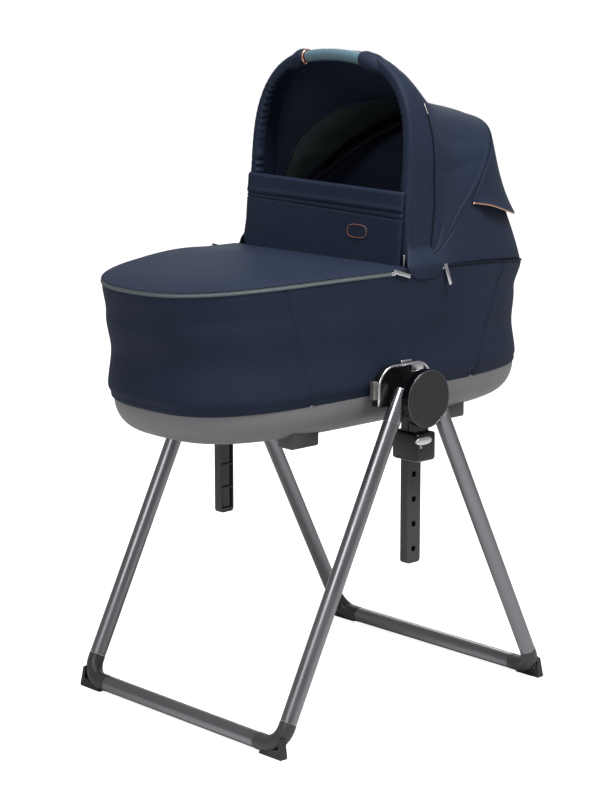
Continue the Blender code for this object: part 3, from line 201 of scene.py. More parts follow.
def moulded(name, chart, rough, depth=0.12):
    """Injection-moulded plastic: an even colour, a fine spark-eroded grain, and faint handling marks."""
    made, tree, shader = new_finish(name, Base_Color=linear(chart), IOR=1.5)
    place = add(tree, "ShaderNodeTexCoord").outputs["Object"]
    uneven_gloss(tree, shader, cloudy(tree, place, 22.0, 4.0), rough - 0.06, rough + 0.06)
    relief(tree, shader, cloudy(tree, place, 1 / GRAIN, 2.0), depth, 0.0003)
    return made


def metal(name, chart, rough, flake=0.0, coat=0.0):
    """Plated or lacquered metal: flakes vary the colour, and faint ripples vary the gloss."""
    made, tree, shader = new_finish(name, Metallic=1.0, Coat_Weight=coat, Coat_Roughness=0.12)
    place = add(tree, "ShaderNodeTexCoord").outputs["Object"]
    base = linear(chart)[:3]
    dull = tuple(c * (1 - flake) for c in base) + (1.0,)
    bright = tuple(min(c * (1 + flake), 1.0) for c in base) + (1.0,)
    two_tone(tree, shader, cloudy(tree, place, 900.0, 1.0), dull, bright)
    uneven_gloss(tree, shader, cloudy(tree, place, 14.0, 3.0), rough * 0.85, rough * 1.2)
    return made


SHELL_GREY = moulded("grey_satin_abs", "#6a6a6c", 0.42)
BLACK = moulded("black_glossy_abs", "#0b0b0c", 0.28, depth=0.08)
POST_GREY = moulded("black_grained_nylon", "#333334", 0.5, depth=0.3)
HUB_GREY = moulded("dark_grey_satin_abs", "#1a1a1b", 0.5)
ELBOW_GREY = moulded("graphite_nylon", "#333335", 0.38)
TUBE = metal("gunmetal_lacquered_tube", "#838387", 0.34, flake=0.06, coat=0.3)
SLEEVE = metal("polished_gunmetal_sleeve", "#9c9ca1", 0.2, flake=0.03, coat=0.3)
DARK_CHROME = metal("black_chrome", "#3a3a3d", 0.2)
SILVER = metal("silver_plated_zamak", "#d9d9dc", 0.24)
CATCH_GREY = metal("satin_nickel", "#8f8f8b", 0.4)
ROSE = metal("rose_gold_plating", "#dba890", 0.22)
GRIP = woven("teal_grey_leatherette", "#3f5560", "#55707b", rough=0.38, bump=0.6, thread=0.0035, gloss=0.5)

# %% [markdown]
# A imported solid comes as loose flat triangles. A small node tree welds them, rounds their shading up to a
# crease angle, and a bevel then softens each real edge, because no moulded edge is perfectly sharp and the
# thin light line along it is what makes a hard piece look real.

# %% Soften the hard solids
CREASE = radians(38)


def node_group(name, numbers, material=None):
    """A Geometry Nodes tree with its named inputs, and the outputs of its input node."""
    tree = bpy.data.node_groups.new(name, "GeometryNodeTree")
    face = tree.interface
    face.new_socket("Geometry", in_out="INPUT", socket_type="NodeSocketGeometry")
    for key, value in numbers.items():
        face.new_socket(key, in_out="INPUT", socket_type="NodeSocketFloat").default_value = value
    if material:
        face.new_socket(material, in_out="INPUT", socket_type="NodeSocketMaterial")
    face.new_socket("Geometry", in_out="OUTPUT", socket_type="NodeSocketGeometry")
    return tree, add(tree, "NodeGroupInput").outputs


def weld_tree():
    tree, start = node_group("weld_and_shade", {"Weld distance": 0.00002})
    weld = (("Geometry", start["Geometry"]), ("Distance", start["Weld distance"]))
    merged = link_out(tree, "GeometryNodeMergeByDistance", weld)
    smooth = link_out(tree, "GeometryNodeSetShadeSmooth", (("Geometry", merged),), domain="FACE")
    bend = add(tree, "GeometryNodeInputMeshEdgeAngle").outputs["Unsigned Angle"]
    soft = link_out(tree, "FunctionNodeCompare", ((0, bend), (1, CREASE)), data_type="FLOAT", operation="LESS_THAN")
    shade = (("Geometry", smooth), ("Shade Smooth", soft))
    creased = link_out(tree, "GeometryNodeSetShadeSmooth", shade, domain="EDGE")
    add(tree, "NodeGroupOutput", ((0, creased),))
    return tree


WELD = weld_tree()


def soften(node, finish, bevel):
    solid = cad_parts[node]
    solid.data.materials.clear()
    solid.data.materials.append(finish)
    solid.modifiers.new("weld", "NODES").node_group = WELD
    if bevel:
        edge = solid.modifiers.new("edge", "BEVEL")
        edge.width, edge.segments = bevel, 2
        edge.limit_method, edge.angle_limit = "ANGLE", CREASE


END_PIECES = {  # each with its finish and the width of its softened edge
    "leg": (TUBE, 0), "arm": (SLEEVE, 0.0006), "elbow": (ELBOW_GREY, 0.0005), "foot": (BLACK, 0.0005),
}
SIDE_PIECES = {
    "base_block_front": (ELBOW_GREY, 0.0005), "base_block_rear": (ELBOW_GREY, 0.0005),
    "zip_pull_front": (SILVER, 0), "zip_pull_rear": (SILVER, 0),
    "hub_bracket": (BLACK, 0.0012), "hub_axle": (DARK_CHROME, 0.0004), "hub_cover": (HUB_GREY, 0.0005),
    "post": (POST_GREY, 0.0004), "post_head": (BLACK, 0.0006), "side_mount": (BLACK, 0.0006),
    "release_pad": (SILVER, 0.0004), "hood_hinge": (BLACK, 0.0005), "grip_ring": (ROSE, 0.0008),
}
for side in ("near", "far"):
    for end in ("front", "rear"):
        for piece, (finish, bevel) in END_PIECES.items():
            soften(f"{end}_{piece}_{side}", finish, bevel)
    for piece, (finish, bevel) in SIDE_PIECES.items():
        soften(f"{piece}_{side}", finish, bevel)
for end in ("front", "rear"):
    soften(f"{end}_cross_tube", TUBE, 0)

# %% [markdown]
# Every cloth panel is a grid of points: rows one way, columns the other. The same function turns each grid into
# a smooth mesh, gives it a cloth map in metres along both directions, and can give the sheet a thickness with a
# lining on its inner face.

# %% Cloth panels from grids
SIDES = (("near", 1), ("far", -1))


def turn_round(steps, place):
    """Points all round, each where the given function puts its angle."""
    return [place(2 * pi * i / steps) for i in range(steps)]


def run_along(steps, place):
    """Points from 0 to 1, each where the given function puts its share."""
    return [place(i / steps) for i in range(steps + 1)]


def sheet_piece(name, grid, finish, wall=0.0, liner=None, closed=False, flip=False, patch=None, capped=False):
    """A mesh from a grid of points. A patch is a second lining and the test for the faces that it lines."""
    grid = np.array(grid, float) + SHIFT
    rows, columns = grid.shape[:2]
    along = np.concatenate(([0], np.cumsum(np.linalg.norm(np.diff(grid[rows // 2], axis=0), axis=1))))
    down = np.concatenate(([0], np.cumsum(np.linalg.norm(np.diff(grid[:, columns // 3], axis=0), axis=1))))
    step = np.linalg.norm(grid[rows // 2, 0] - grid[rows // 2, -1]) if closed else 0.0
    along = np.append(along, along[-1] + step)
    faces, marks, zones = [], [], []
    last = columns if closed else columns - 1
    for i in range(rows - 1):
        for j in range(last):
            after = (j + 1) % columns
            corners = [(i, j, j), (i, after, j + 1), (i + 1, after, j + 1), (i + 1, j, j)]
            if flip:
                corners.reverse()
            faces.append([row * columns + column for row, column, _ in corners])
            marks += [(along[mark], down[row]) for row, _, mark in corners]
            zones.append(2 if patch and patch[1](i, j) else 0)
    if capped:  # one face closes the first ring
        ring = range(columns) if flip else range(columns - 1, -1, -1)
        faces.append(list(ring))
        marks += [(along[column], down[0]) for column in ring]
        zones.append(0)
    mesh = bpy.data.meshes.new(name)
    mesh.from_pydata(grid.reshape(-1, 3).tolist(), [], faces)
    layer = mesh.uv_layers.new(name="cloth")
    layer.data.foreach_set("uv", np.array(marks, float).ravel())
    mesh.shade_smooth()
    mesh.materials.append(finish)
    made = put(name, mesh)
    if wall:
        if liner:
            mesh.materials.append(liner)
        if patch:
            mesh.materials.append(finish)
            mesh.materials.append(patch[0])
            mesh.polygons.foreach_set("material_index", zones)
        thick = made.modifiers.new("wall", "SOLIDIFY")
        thick.thickness, thick.offset = wall, -1
        thick.material_offset = 1 if liner else 0
        graph = bpy.context.evaluated_depsgraph_get()
        thick_made = made.evaluated_get(graph)
        mesh = bpy.data.meshes.new_from_object(thick_made, preserve_all_data_layers=True, depsgraph=graph)
        made.modifiers.clear()
        made.data = mesh
    return made


def close_up(made, weld=False):
    """Fill a piece's open ends, and turn all its faces outward."""
    bm = bmesh.new()
    bm.from_mesh(made.data)
    if weld:
        bmesh.ops.remove_doubles(bm, verts=bm.verts, dist=1e-6)
    bmesh.ops.holes_fill(bm, edges=[edge for edge in bm.edges if edge.is_boundary])
    bmesh.ops.recalc_face_normals(bm, faces=bm.faces)
    bm.to_mesh(made.data)
    bm.free()


def tube_piece(name, path, radius, finish, sides=8, closed=False, flatten=1.0):
    """A round cord, piping or rod along a path of points."""
    path = [Vector(point) for point in path]
    count = len(path)
    rows = []
    across = None
    for i, point in enumerate(path):
        before = path[(i - 1) % count] if closed or i else path[i]
        after = path[(i + 1) % count] if closed or i < count - 1 else path[i]
        ahead = (after - before).normalized()
        if across is None:
            across = ahead.cross(Vector((0, 0, 1)) if abs(ahead.z) < 0.9 else Vector((0, 1, 0))).normalized()
        across = (across - ahead * across.dot(ahead)).normalized()
        other = ahead.cross(across)
        rows.append(turn_round(
            sides, lambda angle: tuple(point + radius * (cos(angle) * across * flatten + sin(angle) * other))
        ))
    if closed:
        rows.append(rows[0])
    made = sheet_piece(name, rows, finish, closed=True)
    close_up(made, weld=True)
    made.data.shade_smooth()
    return made


def wear(made, body, slot, *nodes):
    """The piece rides on a body and stands for CAD nodes, which it hides. The slot is not used."""
    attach(made, body)
    if nodes:
        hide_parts(*nodes)
    return made


def cord(name, path, radius, finish, body, slot, *nodes, **shape):
    wear(tube_piece(name, path, radius, finish, **shape), body, slot, *nodes)


# %% [markdown]
# Stitches repeat along a line, so a node tree makes them: the line is resampled at the stitch pitch, a short
# thread, a little shorter than the pitch, is set at every step, and the result is made real. The tree has named
# inputs for the pitch and the thread's size.

# %% Stitches


def stitch_tree():
    tree, start = node_group(
        "stitch_row", {"Pitch": 0.0042, "Thread radius": 0.00045, "Stitch length": 0.0030}, "Thread"
    )
    spacing = (("Curve", start["Geometry"]), ("Length", start["Pitch"]))
    even = link_out(tree, "GeometryNodeResampleCurve", spacing, mode="LENGTH")
    size = (("Vertices", 6), ("Radius", start["Thread radius"]), ("Depth", start["Stitch length"]))
    stitch = link_out(tree, "GeometryNodeMeshCylinder", size)
    tangent = link_out(tree, "GeometryNodeInputTangent", ())
    turn = link_out(tree, "FunctionNodeAlignRotationToVector", (("Vector", tangent),), axis="Z")
    row = (("Points", even), ("Instance", stitch), ("Rotation", turn))
    placed = link_out(tree, "GeometryNodeInstanceOnPoints", row)
    real = link_out(tree, "GeometryNodeRealizeInstances", (("Geometry", placed),))
    smooth = link_out(tree, "GeometryNodeSetShadeSmooth", (("Geometry", real),))
    coloured = link_out(tree, "GeometryNodeSetMaterial", (("Geometry", smooth), ("Material", start["Thread"])))
    add(tree, "NodeGroupOutput", ((0, coloured),))
    return tree


STITCH = stitch_tree()


def stitches(name, path, finish, pitch=0.0042, radius=0.00045, length=0.0030, closed=False):
    curve = bpy.data.curves.new(name, "CURVE")
    curve.dimensions = "3D"
    line = curve.splines.new("POLY")
    line.points.add(len(path) - 1)
    line.use_cyclic_u = closed
    for point, place in zip(line.points, path):
        point.co = (place[0], place[1] + HUB.y, place[2], 1)
    drawn = put(name + "_line", curve)
    row = drawn.modifiers.new("row", "NODES")
    row.node_group = STITCH
    values = {"Pitch": pitch, "Thread radius": radius, "Stitch length": length, "Thread": finish}
    for item in STITCH.interface.items_tree:
        if item.in_out == "INPUT" and item.name in values:
            row[item.identifier] = values[item.name]
    bpy.context.view_layer.update()
    result = drawn.evaluated_get(bpy.context.evaluated_depsgraph_get())
    made = put(name, bpy.data.meshes.new_from_object(result))
    made.data.materials.clear()
    made.data.materials.append(finish)
    bpy.data.objects.remove(drawn)
    return made


THREAD_NAVY = woven("navy_sewing_thread", "#1b253c", "#2b3857", rough=0.5)

# %% [markdown]
# The carrycot's side is one band of cloth round an egg-shaped plan: wider at the rim, drawn in at the waist,
# and full again above the hem. The plan is a superellipse, which is rounder than a box and fuller than an oval.

# %% The side of the carrycot
HEM, RIM = HUB.z + 0.0055, HUB.z + 0.206
HALF, FRONT, REAR = 0.220, 0.393, 0.426
RIM_POWER, HEM_POWER = 2.5, 2.95
FRONT_DROP, REAR_DROP, HEM_DROP, RIM_DIP = 0.018, 0.035, 0.012, 0.003
PROFILE = (  # height share, then how far the side, the foot end and the head end are drawn in
    (0.0, 0.014, 0.025, 0.026), (0.10, 0.0073, 0.020, 0.0275), (0.365, 0.0104, 0.023, 0.0305),
    (0.70, 0.005, 0.0105, 0.023), (1.0, 0.0, 0.0, 0.0),
)


def ease(share):
    share = min(max(share, 0.0), 1.0)
    return share * share * (3 - 2 * share)


def mix(a, b, share):
    return a + (b - a) * share


def bump_at(distance, width):
    return exp(-((distance / width) ** 2))


def power_wave(value, power):
    return (1 if value >= 0 else -1) * abs(value) ** (2 / power)


def drawn_in(height):
    for low, high in zip(PROFILE, PROFILE[1:]):
        if height <= high[0]:
            share = ease((height - low[0]) / (high[0] - low[0]))
            return [mix(a, b, share) for a, b in zip(low[1:], high[1:])]
    return [0.0, 0.0, 0.0]


def rim_z(y):
    dip = RIM_DIP * bump_at(y - 0.01, 0.13)
    return RIM - dip - (REAR_DROP * (y / REAR) ** 2 if y > 0 else FRONT_DROP * (y / FRONT) ** 2)


def hem_z(y):
    return HEM - (HEM_DROP * (y / FRONT) ** 2 if y < 0 else 0.0)


def squircle(angle, power):
    """A point of the superellipse whose half axes are 1."""
    return power_wave(cos(angle), power), power_wave(sin(angle), power)


def plan(angle, half, front, rear, power):
    x, y = squircle(angle, power)
    return half * x, (rear if sin(angle) > 0 else front) * y


def side_point(angle, height, inset=0.0):
    side, front, rear = drawn_in(max(height, 0.0))
    power = mix(HEM_POWER, RIM_POWER, max(height, 0.0))
    x, y = plan(angle, HALF - side - inset, FRONT - front - inset, REAR - rear - inset, power)
    return x, y, mix(hem_z(y), rim_z(y), height)


def side_face(y, z, out=0.0):
    """The point of the near side face at a length and a height."""
    height = (z - hem_z(y)) / (rim_z(y) - hem_z(y))
    side, front, rear = drawn_in(height)
    length = REAR - rear if y > 0 else FRONT - front
    power = mix(HEM_POWER, RIM_POWER, min(max(height, 0), 1))
    return (HALF - side) * (1 - (abs(y) / length) ** power) ** (1 / power) + out, y, z


SIDE_SEAMS = (((-0.240, 0.7385), (-0.187, 0.5475)), ((0.266, 0.7345), (0.179, 0.5500)))


def seam_share(y, z, seam):
    """Distance from a seam's line across it, in the side view."""
    (y0, z0), (y1, z1) = seam
    length = hypot(y1 - y0, z1 - z0)
    return ((y - y0) * (z1 - z0) - (z - z0) * (y1 - y0)) / length


def side_cloth():
    columns, levels, turned_in = 520, 46, 3
    rows = []
    for k in range(-turned_in, levels + 1):
        height, under = max(k, 0) / levels, max(-k, 0)
        row = []
        for i in range(columns):
            angle = 2 * pi * i / columns
            x, y, z = side_point(angle, height, -0.0004 if not under else 0.0012 * under**1.5)
            z -= 0.0016 * min(under, 2)
            out = Vector((x / HALF**2, y / FRONT**2, 0)).normalized()
            fold = 0.0
            if not under:
                for seam in SIDE_SEAMS:
                    gap = seam_share(y, z, seam)
                    fold -= 0.0024 * bump_at(gap, 0.0024)
                    fold += 0.0007 * bump_at(gap + 0.0065, 0.0035)
                fold += 0.0006 * noise.noise(Vector((x * 6, y * 6, z + 3)))
                fold += 0.0004 * bump_at(height - 0.055, 0.03) * sin(260 * hypot(x, y) + 140 * angle)
                fold -= 0.0010 * bump_at(height - 0.045, 0.012)
            row.append((x + out.x * fold, y + out.y * fold, z))
        rows.append(row)
    return rows


side_rows = side_cloth()
side_fabric = sheet_piece("side_cloth", side_rows, NAVY, wall=0.004, closed=True)
wear(side_fabric, "carrycot", "navy_fabric", "side_fabric")
SEAM_ALLOWANCE = 0.0045
for label, side in SIDES:
    for end, ((y0, z0), (y1, z1)) in zip(("front", "rear"), SIDE_SEAMS):
        line = run_along(40, lambda step: (mix(y0, y1, step) - SEAM_ALLOWANCE, mix(z0, z1, step)))
        line = [(side * side_face(y, z, 0.0004)[0], y, z) for y, z in line]
        wear(stitches(f"side_stitches_{end}_{label}", line, THREAD_NAVY, radius=0.0003), "carrycot", "navy_fabric")

# %% [markdown]
# Inside, a dark lining covers the wall and the floor, and a thin mattress lies on it. The mattress is a padded
# piece with a piped edge, tufted across its top.

# %% Lining and mattress


def hem_ring(steps, half, front, rear, inset, z):
    """A ring of the hem's plan, drawn in by an inset, that sinks with the hem towards the foot end."""
    half, front, rear = max(half - inset, 0.002), max(front - inset, 0.01), max(rear - inset, 0.01)
    ring = turn_round(steps, lambda angle: plan(angle, half, front, rear, HEM_POWER))
    return [(x, y, z - (HEM - hem_z(y))) for x, y in ring]


def lining_grid():
    rows = []
    for height in (1.0, 0.93, 0.8, 0.65, 0.5, 0.35, 0.2, 0.05):
        rows.append(turn_round(160, lambda angle: side_point(angle, height, 0.0056)))
    floor = HUB.z - 0.0384
    for inset, z in ((0.0085, HEM - 0.01), (0.012, HEM - 0.025), (0.022, floor + 0.004), (0.045, floor)):
        rows.append(hem_ring(160, HALF - 0.014, FRONT - 0.025, REAR - 0.026, inset, z))
    return rows + [[(x * 0.02, y * 0.02, floor) for x, y, z in rows[-1]]]


lining = sheet_piece("inner_lining", lining_grid(), LINER, wall=0.002, closed=True, flip=True)
wear(lining, "carrycot", "dark_lining", "lining")

PAD_UNDER, PAD_THICK, TUFT, TUFT_PITCH = HUB.z - 0.0367, 0.0385, 0.0012, 0.06
PAD_MARKS = (  # height share and how far that ring is drawn in
    (0.0, 0.30), (0.0, 0.04), (0.12, 0.010), (0.30, 0.002), (0.5, 0.0), (0.7, 0.002), (0.88, 0.010), (0.97, 0.030),
    (1.0, 0.06), (1.0, 0.12), (1.0, 0.175),
)
pad_rows = []
for height, inset in PAD_MARKS:
    ring = hem_ring(160, 0.182, 0.349, 0.381, inset, PAD_UNDER + height * PAD_THICK)
    if height == 1.0:
        ring = [(x, y, z + TUFT * cos(x * 2 * pi / TUFT_PITCH) * cos(y * 2 * pi / TUFT_PITCH)) for x, y, z in ring]
    pad_rows.append(ring)
mattress = sheet_piece("mattress_pad", pad_rows, COTTON, closed=True)
wear(mattress, "carrycot", "mattress_cloth", "mattress")
cord("mattress_piping", pad_rows[4], 0.0022, COTTON, "carrycot", "mattress_cloth", sides=10, closed=True)

# %% [markdown]
# The apron is the padded cover over the foot half. It is crowned: it springs up inside its edge and runs down
# to the zip all round. Its rows run from the middle of its straight rear edge out to the rim.

# %% Apron and zip
APRON_REAR = 0.0175
APRON_CROWN = 0.017


def apron_point(angle, share):
    reach = FRONT - 0.001 + APRON_REAR
    x, y = plan(angle, (HALF - 0.001) * share, reach * share, reach * share, RIM_POWER)
    y += APRON_REAR
    rise = APRON_CROWN * (1 - share**5) * ease((APRON_REAR - y) / 0.19)
    rise += 0.0010 * noise.noise(Vector((x * 7, y * 7, 1.7))) * (1 - share**6)
    rise += 0.0018 * (1 - share**14)
    return x, y, rim_z(min(y, 0.0)) + 0.0012 + rise


apron_shares = [0.001] + [sin(pi / 2 * k / 44) ** 1.05 for k in range(1, 45)]
apron_rows = [run_along(150, lambda step: apron_point(pi * (step - 1), share)) for share in apron_shares]
apron_edge = []  # the last row turns down over the zip
for x, y, z in apron_rows[-1]:
    out = Vector((x, y, 0)).normalized()
    apron_edge.append((x + out.x * 0.0008, y + out.y * 0.0008, z - 0.0016))
apron = sheet_piece("apron_cloth", apron_rows + [apron_edge], NAVY, wall=0.0028, liner=LINER, flip=True)
wear(apron, "carrycot", "navy_fabric", "apron")

ZIP_END = -0.030  # where the light zip ends, at the front pulls


def rim_ring(first, last, height, out):
    return run_along(420, lambda step: side_point(mix(first, last, step), height, -out))


# the light tape runs round the foot end, from one front pull to the other
tape_rows = []
for height, out in ((0.970, 0.0004), (0.971, 0.0016), (0.978, 0.0022), (0.988, 0.0020), (0.997, 0.0010)):
    tape_rows.append([p for p in rim_ring(-pi - 0.004, 0.004, height, out) if p[1] < ZIP_END])
wear(sheet_piece("zip_tape", tape_rows, TAPE, wall=0.0006), "carrycot", "zip_grey", "zip_band")
teeth_line = [p for p in rim_ring(-pi, 0.0, 1.0005, 0.0010) if p[1] < ZIP_END]
teeth = stitches("zip_teeth", teeth_line, TAPE, pitch=0.0024, radius=0.0007, length=0.0015)
wear(teeth, "carrycot", "zip_grey")
rear_line = [p for p in rim_ring(-0.15, pi + 0.15, 0.992, 0.0008) if p[1] >= ZIP_END + 0.006]
cord("rear_rim_piping", rear_line, 0.0012, EDGE_TAPE, "carrycot", "navy_fabric")
apron_line = run_along(180, lambda step: apron_point(pi * (step - 1), 1.0))
apron_line = [(x * 1.0005, y, z - 0.0006) for x, y, z in apron_line]
cord("apron_piping", apron_line, 0.0009, EDGE_TAPE, "carrycot", "navy_fabric")

# %% [markdown]
# The hood turns about a pin on each side. Its front band is a stiff arch: a thick padded sleeve round the
# mouth and a flat band behind it, back to a piped seam. The arch is half a superellipse on two upright sides.

# %% The hood's arch
HINGE_Y, HINGE_Z = 0.058, RIM + 0.017
EAR = 0.0163
BOTTOM = HINGE_Z - EAR
ARCH_HALF, ARCH_FLARE, ARCH_POWER = 0.1935, 0.012, 2.7
SPRING, ARCH_RISE = RIM + 0.152, 0.192
SIDE_SHARE = 0.22
MOUTH_Y, MOUTH_LEAN = 0.020, 0.08
SEAM_Y, SEAM_STEEP, SEAM_DROP = 0.0905, 4.6, 0.015
GRIP_HALF, GRIP_Y = 0.066, 0.050


def arch(share):
    if share < SIDE_SHARE or share > 1 - SIDE_SHARE:
        near = min(share, 1 - share) / SIDE_SHARE
        x = ARCH_HALF + ARCH_FLARE * (1 - near) ** 2
        return (x if share < 0.5 else -x), mix(BOTTOM, SPRING, near)
    x, z = squircle(pi * (share - SIDE_SHARE) / (1 - 2 * SIDE_SHARE), ARCH_POWER)
    return ARCH_HALF * x, SPRING + ARCH_RISE * z


def arch_out(share):
    ax, az = arch(max(share - 0.004, 0.0))
    bx, bz = arch(min(share + 0.004, 1.0))
    length = hypot(bx - ax, bz - az)
    return (bz - az) / length, -(bx - ax) / length


def mouth(z):
    if z >= HINGE_Z:
        return MOUTH_Y + MOUTH_LEAN * (z - HINGE_Z)
    return HINGE_Y - sqrt((HINGE_Y - MOUTH_Y) ** 2 - (HINGE_Z - z) ** 2)


def seam(z):
    if z <= HINGE_Z:
        return HINGE_Y + sqrt(max(EAR**2 - (z - HINGE_Z) ** 2, 0.0))
    return min(SEAM_Y, HINGE_Y + EAR + (z - HINGE_Z) / SEAM_STEEP)


def seam_drop(z):
    return SEAM_DROP * ease((z - SPRING) / ARCH_RISE)


def rounded(points):
    """Cut the corners of a closed outline twice, which makes it smooth."""
    for _ in range(2):
        cut = []
        for a, b in zip(points, points[1:] + points[:1]):
            cut += [(mix(a[0], b[0], share), mix(a[1], b[1], share)) for share in (0.25, 0.75)]
        points = cut
    return points


NOTCH = 0.0755  # half the gap in the sleeve that the grip spans


def band_section(share):
    """The outline across the band at one place of the arch, as (y, depth below the arch)."""
    x, z = arch(share)
    front, rear, drop = mouth(z), seam(z), seam_drop(z)
    gap = ease((NOTCH + 0.004 - abs(x)) / 0.010) if z > SPRING + 0.1 else 0.0
    first = mix(front, GRIP_Y + 0.0165, gap)
    depth = mix(0.020, 0.006, gap)
    fold = mix(0.024, 0.010, gap)
    lower = drop * 0.15 + 0.0065 * gap
    return [
        (first, 0.004 + lower * gap), (first, depth - 0.003), (first + 0.004, depth),
        (first + fold - 0.006, depth), (first + fold, mix(0.008, 0.0065, gap) + lower * gap),
        (first + fold + 0.006, 0.004 + lower), (rear - 0.001, 0.0038 + drop), (rear, 0.0022 + drop),
        (rear - 0.001, 0.0004 + drop), (first + fold, lower), (first + 0.004, 0.0003 + lower * gap),
    ]


def band_grid():
    count = 260
    rows, run = [], 0.0
    last = arch(0)
    for i in range(count + 1):
        share = i / count
        x, z = arch(share)
        run += hypot(x - last[0], z - last[1])
        last = (x, z)
        nx, nz = arch_out(share)
        outline = rounded(band_section(share))
        ruche = ease((share - 0.60) / 0.05) * ease((0.93 - share) / 0.06)
        ruche += 0.4 * ease((share - 0.13) / 0.06) * ease((0.42 - share) / 0.06)
        row = []
        for y, depth in outline:
            ahead = 1 - min(max((y - mouth(z)) / 0.022, 0.0), 1.0)
            wave = sin(2 * pi * run / 0.0125 + 1.3 * sin(run * 31) + 2 * noise.noise(Vector((y * 60, run * 20, 0))))
            inner = ease(depth / 0.012)
            pull = 0.0025 * ruche * (wave - 0.6) * (0.25 + 0.75 * ahead) * (0.35 + 0.65 * inner)
            pull += 0.0005 * noise.noise(Vector((run * 14, y * 22, 5.0)))
            depth = depth - 0.3 * pull if depth < 0.010 else depth + pull
            z_out = max(z - nz * depth, BOTTOM + 0.0002)
            row.append((x - nx * depth, y, z_out))
        rows.append(row)
    return rows


band = sheet_piece("hood_band_cloth", band_grid(), NAVY, closed=True)
close_up(band)
wear(band, "hood_front", "navy_fabric", "hood_band")

# %% [markdown]
# The grip is a short bowed tube in leatherette, sewn along its underside, with a plated ring at each end.

# %% Grip
COVER_RADIUS, COVER_DROP, COVER_BOW = 0.0102, 0.0117, 1.25
CUFF_END = 0.108  # the cuffs run from the grip's rings out to here
CUFF = (  # share of the cuff's length, and its radius there
    (0.0, 0.0108), (0.06, 0.0136), (0.2, 0.0150), (0.4, 0.0162), (0.6, 0.0166), (0.8, 0.0158), (1.0, 0.0130),
)


def grip_at(x):
    return x, GRIP_Y, SPRING + ARCH_RISE - COVER_DROP - COVER_BOW * x * x


grip_line = run_along(48, lambda step: grip_at(GRIP_HALF * (2 * step - 1)))
cord("grip_cover", grip_line, COVER_RADIUS, GRIP, "hood_front", "grip_teal", "hood_grip", sides=40)
under = [(x, y, z - COVER_RADIUS - 0.0001) for x, y, z in grip_line[1:-1]]
wear(stitches("grip_stitches", under, THREAD_NAVY, radius=0.0004), "hood_front", "grip_teal")
for label, side, first in (("near", 1, 0.0642), ("far", -1, 0.0722)):
    # a cloth cuff closes the sleeve round each end of the grip
    rings = []
    for share, size in CUFF:
        x = mix(first, CUFF_END, share)
        centre = Vector((side * x, mix(GRIP_Y, 0.057, share), 1.0752 - 0.75 * (x - 0.0636) ** 1.35))
        puckers = 0.035 * ease(share * 4)
        rings.append(turn_round(40, lambda angle: tuple(
            centre + size * (1 + puckers * sin(5 * angle + 7 * share))
            * Vector((-0.35 * side * cos(angle) * share, sin(angle), cos(angle)))
        )))
    wear(sheet_piece(f"grip_cuff_{label}", rings, NAVY, closed=True, flip=side > 0), "hood_front", "navy_fabric")
arc = run_along(24, lambda step: (
    -0.058 - 0.018 * (1 - step), GRIP_Y - 0.004 - 0.006 * sin(pi / 2 * step), 1.0622 + 0.0022 * step**2
))
cord("grip_arc_piping", arc, 0.0009, ROSE, "hood_front", "rose_gold")

# %% [markdown]
# Behind the band the canopy is one curved sheet in a fan about the hinge: from the seam it dips, rises to the
# crest over the rear bow, and falls to the rim. Two panels meet at the crest.

# %% Canopy
CREST_ANGLE, CREST_RADIUS, CREST_HALF, CREST_POWER = radians(36.5), 0.345, 0.205, 2.4
DIP, SAG = 0.049, 0.030
SEAM_SPAN = (0.022, 0.978)  # the part of the arch that the canopy is sewn to
CREST_START, BASE_START = 0.031, 0.122  # the crest and the rim line start this turn above the hinge's level
UPPER_ROWS, LOWER_ROWS, CANOPY_COLUMNS, CANOPY_WALL = 44, 40, 180, 0.0026
MESH_TOP, MESH_SPREAD, CHANNEL_ROW = 0.655, 1.27, 0.86  # rows where the mesh begins, and where the inner bow runs


def from_hinge(x, y, z):
    """A place as its x, its distance from the hinge and its angle about it."""
    return x, hypot(y - HINGE_Y, z - HINGE_Z), atan2(z - HINGE_Z, y - HINGE_Y)


def off_hinge(x, distance, angle):
    return Vector((x, HINGE_Y + distance * cos(angle), HINGE_Z + distance * sin(angle)))


def seam_curve(share, extra=0.0):
    place = mix(*SEAM_SPAN, share)
    x, z = arch(place)
    nx, nz = arch_out(place)
    y, drop = seam(z) + extra, seam_drop(z)
    return from_hinge(x - nx * drop, y, z - nz * drop)


def crest_curve(share):
    x, high = squircle(mix(CREST_START, pi - CREST_START, share), CREST_POWER)
    return CREST_HALF * x, CREST_RADIUS * high, min(CREST_ANGLE, 0.6 * seam_curve(share)[2])


def base_curve(share):
    angle = mix(BASE_START, pi - BASE_START, share)
    x, y = plan(angle, HALF - 0.0012, FRONT, REAR - 0.0012, RIM_POWER)
    return from_hinge(x, y, rim_z(y) + 0.0008)


def canopy(share, row):
    """A point of the canopy: row 0 is the seam, 1 the crest and 2 the rim."""
    if row <= 1:
        first, second, step, sag = seam_curve(share), crest_curve(share), row, DIP
    else:
        first, second, step, sag = crest_curve(share), base_curve(share), row - 1, SAG
    weight = min(1.0, 1.3 * sin(pi * share)) ** 2
    distance = mix(first[1], second[1], step) - sag * weight * sin(pi * step)
    return off_hinge(mix(first[0], second[0], step), distance, mix(first[2], second[2], step))


def canopy_out(share, row):
    step = 0.01
    a, b = max(share - step, 0.0), min(share + step, 1.0)
    low, high = max(row - step, 0.0), min(row + step, 2.0)
    return (canopy(share, high) - canopy(share, low)).cross(canopy(b, row) - canopy(a, row)).normalized()


